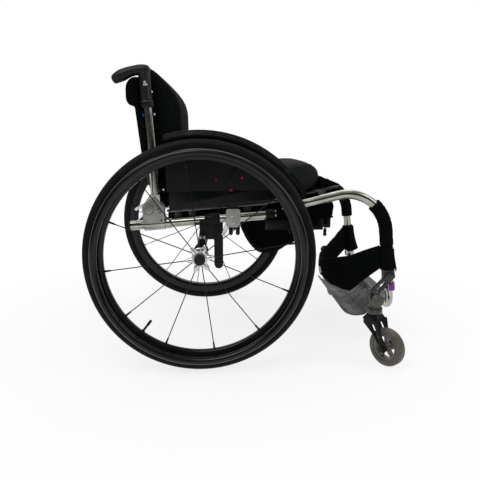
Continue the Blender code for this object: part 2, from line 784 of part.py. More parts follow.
def hub_and_spokes():
    hole = outside(PIN_R + GAP, HUB_SIDES)
    flange_low, flange_high = -FLANGE_IN - FLANGE_THICK / 2, -FLANGE_IN + FLANGE_THICK / 2
    ring_low, ring_high = LUG_OUT - LUG_THICK / 2 - 0.001, LUG_OUT + LUG_THICK / 2 + 0.001
    profile = ((HUB_R + 0.0015, HUB_END), (HUB_R + 0.0015, ring_high + 0.001), (HUB_RING_R, ring_high),
               (HUB_RING_R, ring_low), (HUB_R, ring_low - 0.002), (HUB_R, flange_high),
               (FLANGE_R, flange_high), (FLANGE_R, flange_low), (HUB_R, flange_low),
               (HUB_R, -HUB_IN), (hole, -HUB_IN), (hole, HUB_END))
    body = turned(profile, HUB_SIDES)
    lugs = []
    for k in range(0, SPOKES, 2):
        turn = SPOKE_START + 2 * math.pi * k / SPOKES
        middle = (LUG_R + HUB_R) / 2
        lug = block((-(LUG_R - HUB_R) / 2, -LUG_WIDTH / 2, -LUG_THICK / 2),
                    ((LUG_R - HUB_R) / 2, LUG_WIDTH / 2, LUG_THICK / 2))
        lug.location = (middle * math.cos(turn), middle * math.sin(turn), LUG_OUT)
        lug.rotation_euler.z = turn
        lugs.append(lug)
    return fused(body, *lugs, *[spoke(k) for k in range(SPOKES)])


def axle_pin():
    pin = rod(PIN_R, (0, 0, -PIN_IN), (0, 0, HUB_END), 14)
    return cut(pin, bore(STEM_R, (0, 0, HUB_END - STEM_BORE), (0, 0, HUB_END + 0.01), 16))


def axle_button():
    face = HUB_END + BUTTON_TRAVEL + 0.0005
    profile = ((0, face + BUTTON_THICK), (BUTTON_R - 0.0012, face + BUTTON_THICK),
               (BUTTON_R, face + BUTTON_THICK - 0.0012), (BUTTON_R, face), (STEM_R, face),
               (STEM_R, HUB_END - STEM_IN), (0, HUB_END - STEM_IN))
    return turned(profile, 16, ring=False)


# Back, in the frame of its pivot

def back_post(side):
    y = side * TUBE_Y
    foot = Vector((post_line(POST_FOOT_Z) - PIVOT_X, y, POST_FOOT_Z - PIVOT_Z))
    top = Vector((post_line(POST_TOP_Z) - PIVOT_X, y, POST_TOP_Z - PIVOT_Z))
    tube = rod(TUBE_R, foot, top)
    outline = arc((0, 0), BLOCK_R, math.radians(150), math.radians(330), 8)
    outline += [(0.029, 0.012), (0.029, 0.040), (0.004, 0.041)]
    foot_block = plate(outline, y - BLOCK_HALF, y + BLOCK_HALF)
    collar = rod(COLLAR_R, *[(post_line(z) - PIVOT_X, y, z - PIVOT_Z) for z in COLLAR_Z], 14)
    whole = fused(foot_block, tube, collar)
    return cut(whole, bore(PIVOT_PIN_R, (0, y - 0.03, 0), (0, y + 0.03, 0)))


def push_handle(side):
    y = side * TUBE_Y
    low = COLLAR_Z[1] + GAP
    grip = sweep([(x - PIVOT_X, y, HANDLE_Z + rise - PIVOT_Z) for x, rise, _ in HANDLE_LINE], TUBE_R, 4,
                 [radius for _, _, radius in HANDLE_LINE])
    neck = HANDLE_Z + 0.004
    sleeve = rod(HANDLE_SLEEVE_R, (post_line(low) - PIVOT_X, y, low - PIVOT_Z),
                 (post_line(neck) - PIVOT_X, y, neck - PIVOT_Z), 14)
    end = POST_TOP_Z + GAP
    return cut(fused(grip, sleeve), bore(TUBE_R, (post_line(low - 0.01) - PIVOT_X, y, low - 0.01 - PIVOT_Z),
                                        (post_line(end) - PIVOT_X, y, end - PIVOT_Z)))


def behind_post(z, radius):
    return post_line(z) - radius - 0.0006


def back_panel():
    top = HANDLE_Z - 0.021
    shelf = COLLAR_Z[0] - 0.0030
    front = [(behind_post(PANEL_FOOT_Z, TUBE_R), PANEL_FOOT_Z), (behind_post(shelf, TUBE_R), shelf),
             (behind_post(shelf + 0.001, COLLAR_R), shelf + 0.001), (behind_post(top, COLLAR_R), top)]
    rear = [(x, top - drop) for x, drop in PANEL_ROLL]
    rear += [(behind_post(shelf - 0.006, TUBE_R) - PANEL_THICK, shelf - 0.006),
            (behind_post(PANEL_FOOT_Z, TUBE_R) - PANEL_THICK, PANEL_FOOT_Z)]
    outline = [(x - PIVOT_X, z - PIVOT_Z) for x, z in front + rear]
    return plate(outline, -PANEL_HALF, PANEL_HALF)


def back_depth(z):
    # depth of the back cushion in front of its flat rear face
    for (z0, d0), (z1, d1) in zip(BACK_PROFILE, BACK_PROFILE[1:]):
        if z <= z1:
            break
    return d0 + (d1 - d0) * (z - z0) / (z1 - z0)


def back_cushion():
    low, high = BACK_PROFILE[0][0], BACK_PROFILE[-1][0]

    def place(u, v, w):
        # u forward, v across, w up; crowned in front, drawn in at the sides between the corners
        z = low + (high - low) * (w + 1) / 2
        rear = post_line(z) - TUBE_R + 0.0002
        pull = 1 - 0.03 * (1 - w * w)
        edge = 1 - 0.10 * max(0, u) ** 2
        depth = back_depth(z) * (1 - BACK_CROWN * v * v)
        return (rear + depth * (u + 1) / 2 - PIVOT_X, v * BACK_HALF * pull * edge, z - PIVOT_Z)

    return stuffed(place, 3)


# Brakes

def brake_clamp(side):
    y = side * TUBE_Y
    start, end = 0.172, 0.197
    sleeve = rod(TUBE_R + 0.004, (start, y, seat_line(start)), (end, y, seat_line(end)), 14)
    arm_low, arm_high = BRAKE_Z + LEVER_THICK / 2 + 2 * GAP, seat_line(start) - TUBE_R - GAP
    arm = block_between((start + 0.001, side * (TUBE_Y - 0.010), arm_low),
                        (BRAKE_X + 0.0095, side * (TUBE_Y + 0.020), arm_high))
    pivot_y = side * (TUBE_Y + BRAKE_OUT)
    head_z = BRAKE_Z - LEVER_THICK / 2 - GAP
    pin = rod(BRAKE_PIN_R, (BRAKE_X, pivot_y, head_z - 0.002), (BRAKE_X, pivot_y, 0.360))
    head = rod(0.0075, (BRAKE_X, pivot_y, head_z - 0.004), (BRAKE_X, pivot_y, head_z))
    whole = fused(sleeve, arm, pin, head)
    start, end = start - 0.02, end + 0.02
    return cut(whole, bore(TUBE_R, (start, y, seat_line(start)), (end, y, seat_line(end))))


def brake_lever(side):
    # in the frame of its pivot, at rest turned inboard of straight ahead
    spin = Matrix.Rotation(-side * BRAKE_REST, 3, "Z")

    def spot(along, outboard, z):
        return spin @ Vector((along, side * outboard, z))

    half = LEVER_THICK / 2
    bar = flat(slot_outline(spot(0, 0, 0).xy, spot(LEVER_LENGTH, 0, 0).xy, 0.0085), LEVER_THICK)
    arm = flat(slot_outline(spot(0.045, 0, 0).xy, spot(SHOE_X, SHOE_OUT, 0).xy, 0.007), LEVER_THICK - 2 * GAP)
    shoe = rod(0.007, spot(SHOE_X, SHOE_OUT, -half), spot(SHOE_X, SHOE_OUT, 0.024), 10)
    knob = rod(0.010, spot(LEVER_LENGTH, 0, -0.008), spot(LEVER_LENGTH, 0, 0.017))
    return cut(fused(bar, arm, shoe, knob), bore(BRAKE_PIN_R, (0, 0, -0.02), (0, 0, 0.02)))


# Front end

def leg_point(z, side):
    return Vector((leg_line(z), side * TUBE_Y, z))


def foam_sleeve(side):
    corners = ((SIDE_KINK_X, seat_line(SIDE_KINK_X)), SIDE_RISE, front_bend(),
               (leg_line(LEG_END_Z), LEG_END_Z))
    tube = filleted(at_y(corners, side * TUBE_Y), (RISE_RADIUS, BEND_RADIUS))
    first = next(i for i, point in enumerate(tube) if point.x > FOAM_START_X)
    foot_z = FOAM_FOOT_Z[side]
    route = [point for point in tube[first:] if point.z > foot_z + 0.01]
    route.append(leg_point(foot_z, side))
    outer = sweep(route, TUBE_R + FOAM_THICK)
    longer = [tube[first - 1], *route, leg_point(foot_z - 0.01, side)]
    return cut(outer, sweep(longer, TUBE_R + GAP))


def strap_edges(across):
    # lower and upper edge of the band, at its share of the way from the right leg to the left one
    for (a0, low0, high0), (a1, low1, high1) in zip(STRAP_LINE, STRAP_LINE[1:]):
        if across <= a1:
            break
    t = (across - a0) / (a1 - a0)
    return low0 + (low1 - low0) * t, high0 + (high1 - high0) * t


def calf_strap():
    shape = bmesh.new()
    bmesh.ops.create_grid(shape, x_segments=12, y_segments=2, size=1)
    reach_y = TUBE_Y - 0.0085
    for point in shape.verts:
        across, up = point.co.x, (point.co.y + 1) / 2
        low, high = strap_edges(across)
        z = low + (high - low) * up
        x = STRAP_BACK_X + (leg_line(z) - 0.0128 - STRAP_BACK_X) * across ** 2
        point.co = (x, across * reach_y, z)
    cloth = from_bmesh(shape)
    skin = cloth.modifiers.new("skin", "SOLIDIFY")
    skin.thickness = STRAP_THICK
    skin.offset = 0
    band_solid = meshed(cloth)
    loop_r = TUBE_R + GAP + STRAP_THICK
    ends = [[leg_point(z, side) for z in STRAP_Z[side]] for side, _ in SIDES]
    loops = [rod(loop_r, low, high + LEG_DOWN * 2 * GAP, 14) for low, high in ends]
    whole = fused(band_solid, *loops)
    holes = [bore(TUBE_R, low + LEG_DOWN * 0.02, high - LEG_DOWN * 0.02) for low, high in ends]
    return cut(whole, *holes)


def foot_run_x():
    return leg_line(FOOT_RUN_Z)


def footrest_tube():
    # one bent tube whose clamps grip the ends of the frame's legs
    top = LEG_END_Z - 0.002
    corners = ((leg_line(top), -TUBE_Y, top), (foot_run_x(), -TUBE_Y, FOOT_RUN_Z),
               (foot_run_x(), TUBE_Y, FOOT_RUN_Z), (leg_line(top), TUBE_Y, top))
    tube = sweep(filleted(corners, (FOOT_BEND, FOOT_BEND)), FOOT_TUBE_R, 2)
    clamps = [rod(LEG_CLAMP_R, leg_point(LEG_END_Z - 0.010, side), leg_point(LEG_END_Z + 0.012, side), 14)
              for side, _ in SIDES]
    holes = [bore(TUBE_R, leg_point(LEG_END_Z - GAP, side), leg_point(LEG_END_Z + 0.03, side))
             for side, _ in SIDES]
    return cut(fused(tube, *clamps), *holes)


def foot_spot(ahead, above):
    return (foot_run_x() + ahead, FOOT_RUN_Z + above)


def footplate():
    line = (foot_spot(-0.125, -0.011), foot_spot(-0.108, -0.026), foot_spot(-0.083, -0.0325),
            foot_spot(-0.058, -0.0285), foot_spot(-0.038, -0.012), foot_spot(-0.020, 0.0085),
            foot_spot(0, 0.0162), (FRONT_REACH - 0.0005, FOOT_RUN_Z + 0.0205))
    tray = band(line, -FOOTPLATE_HALF, FOOTPLATE_HALF, FOOTPLATE_THICK)
    run = Vector((foot_run_x(), 0, FOOT_RUN_Z))
    ends = [(Vector((0, y - 0.012, 0)), Vector((0, y + 0.012, 0))) for y in (-FOOT_CLAMP_Y, FOOT_CLAMP_Y)]
    clamps = [rod(FOOT_CLAMP_R, run + start, run + end, 14) for start, end in ends]
    pads = [block(run + start + Vector((-0.006, 0.001, 0.010)), run + end + Vector((0.006, -0.001, 0.0160)))
            for start, end in ends]
    margin = Vector((0, 0.01, 0))
    holes = [bore(FOOT_TUBE_R, run + start - margin, run + end + margin) for start, end in ends]
    return cut(fused(tray, *clamps, *pads), *holes)


# Casters

def caster_arm(side):
    middle = leg_point(ARM_COLLAR_Z, side)
    collar = rod(TUBE_R + 0.0055, middle - LEG_DOWN * 0.013, middle + LEG_DOWN * 0.013, 14)
    low, high = side * (TUBE_Y + 0.016), side * (TUBE_Y + 0.028)
    top, foot = (middle.x, middle.z), (CASTER_X + 0.0005, HOUSING_Z)
    arm = plate(slot_outline(top, foot, ARM_WIDTH / 2), low, high)
    pin = rod(HOUSING_PIN_R, (foot[0], side * (TUBE_Y + 0.008), HOUSING_Z),
              (foot[0], side * (TUBE_Y + CASTER_OUT + 0.0095), HOUSING_Z), 14)
    whole = fused(collar, arm, pin)
    way = Vector((foot[0] - top[0], foot[1] - top[1]))
    slot = plate(slot_outline(Vector(top) + way * 0.36, Vector(top) + way * 0.66, 0.0045, 4),
                 side * (TUBE_Y + 0.010), side * (TUBE_Y + 0.034))
    return cut(whole, slot, bore(TUBE_R, leg_point(0.26, side), leg_point(0.19, side)))


def caster_housing(side):
    y = side * (TUBE_Y + CASTER_OUT)
    sleeve = rod(HOUSING_PIN_R + 0.0043, (CASTER_X + 0.0005, y - side * 0.0185, HOUSING_Z),
                 (CASTER_X + 0.0005, y + side * 0.0185, HOUSING_Z), 16)
    body = rod(0.0165, (CASTER_X, y, 0.144), (CASTER_X, y, 0.166), 16)
    cup = rod(CUP_R, (CASTER_X, y, 0.132), (CASTER_X, y, 0.148), 16)
    whole = fused(sleeve, body, cup)
    pin_hole = bore(HOUSING_PIN_R, (CASTER_X + 0.0005, y - side * 0.03, HOUSING_Z),
                    (CASTER_X + 0.0005, y + side * 0.0098, HOUSING_Z))
    stem_hole = bore(FORK_STEM_R, (CASTER_X, y, 0.12), (CASTER_X, y, 0.151))
    return cut(whole, pin_hole, stem_hole)


def fork():
    # X is the direction that the wheel trails in, the origin is on the stem at the floor
    low, high = FORK_CROWN_Z
    outer = FORK_IN + FORK_LEG
    crown = block((-0.024, -outer - 0.0005, low), (0.026, outer + 0.0005, high))
    for corner in crown.data.vertices:
        if corner.co.z > 0:
            corner.co.x *= CROWN_TOP
            corner.co.y *= CROWN_TOP
    stem = rod(FORK_STEM_R, (0, 0, high - 0.004), (0, 0, 0.150), 16)
    outline = [(-0.020, 0.122), (0.026, 0.122), (0.034, 0.085), (0.0555, 0.058)]
    outline += arc((CASTER_TRAIL, CASTER_R), 0.012, math.radians(30), math.radians(-200), 6)
    outline += [(0.012, 0.080), (-0.020, 0.105)]
    legs = [plate(outline, s * FORK_IN, s * outer) for s in (-1, 1)]
    bolt = rod(FORK_BOLT_R, (CASTER_TRAIL, -outer - 0.002, CASTER_R), (CASTER_TRAIL, outer + 0.002, CASTER_R), 10)
    heads = [rod(0.0075, (CASTER_TRAIL, s * (outer - 0.001), CASTER_R),
                 (CASTER_TRAIL, s * (outer + 0.0045), CASTER_R), 8) for s in (-1, 1)]
    slot = plate(slot_outline((0.011, 0.103), (0.030, 0.073), 0.0042, 4), -0.03, 0.03)
    return cut(fused(crown, stem, *legs, bolt, *heads), slot)


def caster_tyre():
    half = CASTER_WIDTH / 2
    inner = CASTER_R - 0.0142
    profile = ((CASTER_R - 0.004, half), (CASTER_R, half - 0.005), (CASTER_R, 0.005 - half),
               (CASTER_R - 0.004, -half), (inner, -half + 0.002), (inner, half - 0.002))
    return turned(profile, 24)


def caster_hub():
    outer = (CASTER_R - 0.0142 - GAP) * math.cos(math.pi / 24)
    rim = turned(((outer, 0.0090), (outer, -0.0090), (outer - 0.006, -0.0090), (outer - 0.006, 0.0090)), 20)
    boss = rod(0.010, (0, 0, -FORK_IN + 0.0004), (0, 0, FORK_IN - 0.0004))
    arms = []
    for k in range(5):
        turn = 2 * math.pi * k / 5 + 0.4
        way = Vector((math.cos(turn), math.sin(turn), 0))
        arm = block((-0.0125, -0.0035, -0.0060), (0.0125, 0.0035, 0.0060))
        arm.location = way * 0.0195
        arm.rotation_euler.z = turn
        arms.append(arm)
    return cut(fused(rim, boss, *arms), bore(FORK_BOLT_R, (0, 0, -0.03), (0, 0, 0.03)))


# Back release

def back_release():
    # two levers beside the rear brackets, swung together by the cord tied between them;
    # in the frame of their pivot
    face = TUBE_Y - BLOCK_HALF - CHEEK_GAP - CHEEK_THICK - GAP
    levers = [plate(slot_outline((0, 0), (-0.029, -0.016), 0.0042), side * face, side * (face - 0.004))
              for side, _ in SIDES]
    y = face - 0.002
    half = ((-0.0290, y, -0.0160), (-0.0400, y - 0.002, 0.006), (-0.0440, y - 0.014, 0.034),
            (-0.0370, y - 0.048, 0.056), (-0.0260, 0.085, 0.054), (-0.0200, 0, 0.046))
    route = [Vector(point) for point in half]
    mirrored = [Vector((p.x, -p.y, p.z)) for p in reversed(route[:-1])]
    cord = sweep(smooth_route(route + mirrored, 31), RELEASE_CORD_R, 1)
    return fused(cord, *levers)


def build():
    for thing in list(bpy.data.objects):
        bpy.data.objects.remove(thing)
    bpy.context.scene.collection.children.link(chair_parts)

    polished = paint("polished_aluminium", (0.78, 0.77, 0.75), 0.22, 1.0)
    satin = paint("satin_grey", (0.42, 0.42, 0.43), 0.45, 0.8)
    black_metal = paint("black_metal", (0.02, 0.02, 0.022), 0.4, 0.5)
    rubber = paint("tyre_rubber", (0.015, 0.015, 0.016), 0.7)
    gloss = paint("gloss_black", (0.012, 0.012, 0.014), 0.2)
    cloth = paint("black_cloth", (0.02, 0.02, 0.022), 0.9)
    cushion_cloth = paint("cushion_cloth", (0.05, 0.05, 0.055), 0.85)
    plastic = paint("black_plastic", (0.02, 0.02, 0.02), 0.55)
    foam = paint("black_foam", (0.012, 0.012, 0.013), 0.85)
    magenta = paint("magenta_anodised", (0.60, 0.05, 0.25), 0.3, 0.9)
    caster_rubber = paint("caster_rubber", (0.16, 0.14, 0.13), 0.6)
    steel = paint("bright_steel", (0.7, 0.7, 0.7), 0.25, 1.0)

    chair = group("chair", (-CENTRE_X, 0, 0))
    finished(cross_tube(), "cross_tube", polished, chair)
    finished(camber_tube(), "camber_tube", black_metal, chair)
    finished(seat_sling(), "seat_sling", cloth, chair)
    finished(seat_cushion(), "seat_cushion", cushion_cloth, chair)
    finished(seat_apron(), "seat_apron", cloth, chair)
    finished(pouch(), "under_seat_pouch", cloth, chair)
    finished(drawstring(), "pouch_drawstring", cloth, chair)
    finished(calf_strap(), "calf_strap", cloth, chair)
    finished(footrest_tube(), "footrest_tube", polished, chair)
    finished(footplate(), "footplate", satin, chair)

    back = group("back", (PIVOT_X, 0, PIVOT_Z), chair)
    finished(back_panel(), "back_panel", cloth, back)
    finished(back_cushion(), "back_cushion", cloth, back)
    release = group("release", (RELEASE_X, 0, RELEASE_Z), chair)
    finished(back_release(), "back_release", satin, release)

    for side, name in SIDES:
        finished(side_tube(side), "side_tube_" + name, polished, chair)
        finished(axle_bracket(side), "axle_bracket_" + name, black_metal, chair)
        finished(rear_bracket(side), "rear_bracket_" + name, satin, chair)
        finished(seat_rail(side), "seat_rail_" + name, polished, chair)
        finished(guard_lower(side), "side_guard_" + name, gloss, chair)
        finished(fender(side), "fender_" + name, gloss, chair)
        finished(guard_receiver(side), "guard_receiver_" + name, satin, chair)
        finished(brake_clamp(side), "brake_clamp_" + name, black_metal, chair)
        finished(foam_sleeve(side), "tube_sleeve_" + name, foam, chair)
        finished(caster_arm(side), "caster_arm_" + name, satin, chair)
        finished(caster_housing(side), "caster_housing_" + name, satin, chair)
        finished(back_post(side), "back_post_" + name, polished, back)
        finished(push_handle(side), "push_handle_" + name, plastic, back)

        lean = (-side * (math.pi / 2 - CAMBER), 0, 0)
        wheel = group("wheel_" + name, hub_place(side), chair, lean)
        finished(tyre(), "tyre_" + name, rubber, wheel)
        finished(rim_and_valve(), "rim_" + name, gloss, wheel)
        finished(handrim(), "handrim_" + name, gloss, wheel)
        finished(hub_and_spokes(), "hub_" + name, steel, wheel)
        axle = group("axle_" + name, hub_place(side), chair, lean)
        finished(axle_pin(), "axle_pin_" + name, steel, axle)
        finished(axle_button(), "axle_button_" + name, plastic, axle)

        pivot = group("brake_" + name, (BRAKE_X, side * (TUBE_Y + BRAKE_OUT), BRAKE_Z), chair)
        finished(brake_lever(side), "brake_lever_" + name, black_metal, pivot)
        swivel = group("swivel_" + name, (CASTER_X, side * (TUBE_Y + CASTER_OUT), 0), chair,
                       (0, 0, side * CASTER_HEADING))
        finished(fork(), "caster_fork_" + name, black_metal, swivel)
        wheel = group("caster_" + name, (CASTER_TRAIL, 0, CASTER_R), swivel, (math.pi / 2, 0, 0))
        finished(caster_tyre(), "caster_tyre_" + name, caster_rubber, wheel)
        finished(caster_hub(), "caster_hub_" + name, magenta, wheel)


build()
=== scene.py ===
import json
import math

import bmesh
import bpy
import numpy as np
from mathutils import Matrix, Vector, noise
from mathutils.bvhtree import BVHTree
from mathutils.kdtree import KDTree


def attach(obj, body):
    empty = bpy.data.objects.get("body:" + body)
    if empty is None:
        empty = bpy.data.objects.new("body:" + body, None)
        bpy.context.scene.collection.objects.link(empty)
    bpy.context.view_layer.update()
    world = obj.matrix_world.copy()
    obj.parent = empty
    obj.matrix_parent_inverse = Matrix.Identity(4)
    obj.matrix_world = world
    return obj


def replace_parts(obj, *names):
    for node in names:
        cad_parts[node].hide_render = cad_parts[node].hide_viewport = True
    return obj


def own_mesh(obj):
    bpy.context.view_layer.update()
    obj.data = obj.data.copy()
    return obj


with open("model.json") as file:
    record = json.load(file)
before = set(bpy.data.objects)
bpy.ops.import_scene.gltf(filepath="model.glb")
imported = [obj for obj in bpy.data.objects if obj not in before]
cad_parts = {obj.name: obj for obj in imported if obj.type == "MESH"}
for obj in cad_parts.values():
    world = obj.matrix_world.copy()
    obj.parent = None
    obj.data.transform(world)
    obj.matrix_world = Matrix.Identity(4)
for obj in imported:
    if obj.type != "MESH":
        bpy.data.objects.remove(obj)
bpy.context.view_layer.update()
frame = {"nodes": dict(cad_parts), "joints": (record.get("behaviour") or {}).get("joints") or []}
joints = {joint["name"]: joint for joint in frame["joints"]}
sides = ((-1, "right"), (1, "left"))

chair = {
    "axleX": joints["wheel_spin_right"]["pos_m"][0],
    "axleZ": joints["wheel_spin_right"]["pos_m"][2],
    "hubY": joints["wheel_spin_left"]["pos_m"][1],
    "camber": math.radians(3),
    "tubeY": 0.2175,          # middle of each side tube
    "tubeRadius": 0.0125,
    "pivotX": -0.1336,        # the back's hinge
    "pivotZ": 0.4064,
    "postAhead": 0.0194,
    "postLean": 0.0655,
    "seatLineZ": 0.3767,      # side tube over the axle
    "seatSlope": 0.0733,
    "legX": 0.503,            # front leg of the side tube, at legZ
    "legZ": 0.31,
    "legSlope": 0.108,
}


def spot(x, y, z):
    return Vector((x + chair["axleX"], y, z))


def seatLine(x):
    return chair["seatLineZ"] + chair["seatSlope"] * x


def legLine(z):
    return chair["legX"] + (chair["legZ"] - z) * chair["legSlope"]


def postLine(z):
    return chair["pivotX"] + chair["postAhead"] - (z - chair["pivotZ"]) * chair["postLean"]


railPoints = ((-0.09, 0.400), (0.17, 0.419), (0.29, 0.446), (0.375, 0.464))


def interpolated(x, points):
    return float(np.interp(x, [p[0] for p in points], [p[1] for p in points]))


def railLine(x):
    return interpolated(x, railPoints) if x < 0.375 else 0.464 + (x - 0.375) * 0.2118


def mixed(a, b, share):
    return a + (b - a) * share


def waver(x, y, z):
    # smooth noise from -1 to 1
    return noise.noise(Vector((x, y, z)))


def eased(t):
    t = min(max(t, 0.0), 1.0)
    return t * t * (3 - 2 * t)


# Finishes

def filled(step, values):
    # the named inputs of a node set to values
    for key, value in values.items():
        step.inputs[key].default_value = value
    return step


def bareMaterial(name):
    material = bpy.data.materials.new(name)
    material.use_nodes = True
    material.node_tree.nodes.clear()
    return material, material.node_tree.nodes, material.node_tree.links


def newMaterial(name):
    material = bpy.data.materials.new(name)
    material.use_nodes = True
    tree = material.node_tree
    return material, tree.nodes, tree.links, tree.nodes["Principled BSDF"]


def node(nodes, kind, **settings):
    made = nodes.new(kind)
    for key, value in settings.items():
        setattr(made, key, value)
    return made


def combined(nodes, links, a, b, operation="ADD"):
    step = node(nodes, "ShaderNodeMath", operation=operation)
    for socket, value in zip(step.inputs, (a, b)):
        if isinstance(value, (int, float)):
            socket.default_value = value
        else:
            links.new(value, socket)
    return step.outputs[0]


def placeOf(nodes):
    return node(nodes, "ShaderNodeTexCoord").outputs["Object"]


def speckle(nodes, links, scale, detail=4, stretch=(1, 1, 1)):
    # noise whose scale is per metre of the chair, stretched along an axis if asked
    mapping = filled(node(nodes, "ShaderNodeMapping"), {"Scale": stretch})
    links.new(placeOf(nodes), mapping.inputs["Vector"])
    grain = filled(node(nodes, "ShaderNodeTexNoise"), {"Scale": scale, "Detail": detail})
    links.new(mapping.outputs[0], grain.inputs["Vector"])
    return grain.outputs["Fac"]


def ramped(nodes, links, value, low, high, places=(0.3, 0.7)):
    ramp = node(nodes, "ShaderNodeValToRGB")
    for element, colour, place in zip(ramp.color_ramp.elements, (low, high), places):
        element.position = place
        element.color = (*colour, 1) if len(colour) == 3 else colour
    links.new(value, ramp.inputs[0])
    return ramp.outputs[0]


def ranged(nodes, links, value, low, high):
    step = filled(node(nodes, "ShaderNodeMapRange"), {"To Min": low, "To Max": high})
    links.new(value, step.inputs["Value"])
    return step.outputs[0]


def lattice(nodes, links, pitch):
    # threads crossing at the pitch, in three directions so that they show on any face
    parts = node(nodes, "ShaderNodeSeparateXYZ")
    links.new(placeOf(nodes), parts.inputs[0])
    waves = [combined(nodes, links, combined(nodes, links, parts.outputs[i], math.pi / pitch, "MULTIPLY"),
                      0, "SINE") for i in range(3)]
    pairs = [combined(nodes, links, waves[i], waves[(i + 1) % 3], "MULTIPLY") for i in range(3)]
    return combined(nodes, links, combined(nodes, links, pairs[0], pairs[1]), pairs[2])


def bumped(nodes, links, shader, height, depth, strength=1.0):
    bump = filled(node(nodes, "ShaderNodeBump"), {"Distance": depth, "Strength": strength})
    links.new(height, bump.inputs["Height"])
    links.new(bump.outputs[0], shader.inputs["Normal"])


def metalFinish(name, dark, light, rough, metallic=1.0, grain=(1, 1, 1), scratch=0.00002, specular=0.5):
    # brushed or anodised metal: tone and gloss drift, with hairline marks along the grain
    material, nodes, links, shader = newMaterial(name)
    tone = speckle(nodes, links, 26, 5)
    links.new(ramped(nodes, links, tone, dark, light), shader.inputs["Base Color"])
    hair = speckle(nodes, links, 900, 3, grain)
    smudge = speckle(nodes, links, 45, 5)
    marks = combined(nodes, links, combined(nodes, links, hair, 0.5, "MULTIPLY"),
                     combined(nodes, links, smudge, 0.5, "MULTIPLY"))
    links.new(ranged(nodes, links, marks, rough * 0.55, rough * 1.55), shader.inputs["Roughness"])
    filled(shader, {"Metallic": metallic, "Specular IOR Level": specular})
    bumped(nodes, links, shader, hair, scratch, 0.35)
    return material


def mouldedFinish(name, dark, light, rough, grainScale=1400, depth=0.00006, specular=0.3, wave=0.0):
    # moulded plastic, foam or rubber: a fine pebbled skin with dusty and rubbed places, wavy if asked
    material, nodes, links, shader = newMaterial(name)
    dust = speckle(nodes, links, 18, 6)
    links.new(ramped(nodes, links, dust, dark, light), shader.inputs["Base Color"])
    pebble = speckle(nodes, links, grainScale, 2)
    links.new(ranged(nodes, links, dust, rough * 0.85, min(rough * 1.2, 1)), shader.inputs["Roughness"])
    filled(shader, {"Specular IOR Level": specular})
    if wave:
        swell = combined(nodes, links, speckle(nodes, links, 11, 1), wave / depth, "MULTIPLY")
        pebble = combined(nodes, links, pebble, swell)
    bumped(nodes, links, shader, pebble, depth, 0.6)
    return material


def clothFinish(name, dark, light, rough, pitch, depth, sheen=0.02, sheenTint=(0.5, 0.5, 0.55), specular=0.1):
    # woven cloth: crossing threads, tone drifting with wear, and a soft sheen
    material, nodes, links, shader = newMaterial(name)
    drift = speckle(nodes, links, 9, 5)
    threads = lattice(nodes, links, pitch)
    tone = combined(nodes, links, combined(nodes, links, threads, 0.10, "MULTIPLY"), drift)
    links.new(ramped(nodes, links, tone, dark, light, (0.25, 0.75)), shader.inputs["Base Color"])
    links.new(ranged(nodes, links, drift, rough * 0.92, min(rough * 1.08, 1)), shader.inputs["Roughness"])
    filled(shader, {"Specular IOR Level": specular, "Sheen Weight": sheen, "Sheen Roughness": 0.45,
                    "Sheen Tint": (*sheenTint, 1)})
    fuzz = speckle(nodes, links, 2500, 2)
    height = combined(nodes, links, threads, combined(nodes, links, fuzz, 0.8, "MULTIPLY"))
    bumped(nodes, links, shader, height, depth, 0.8)
    return material


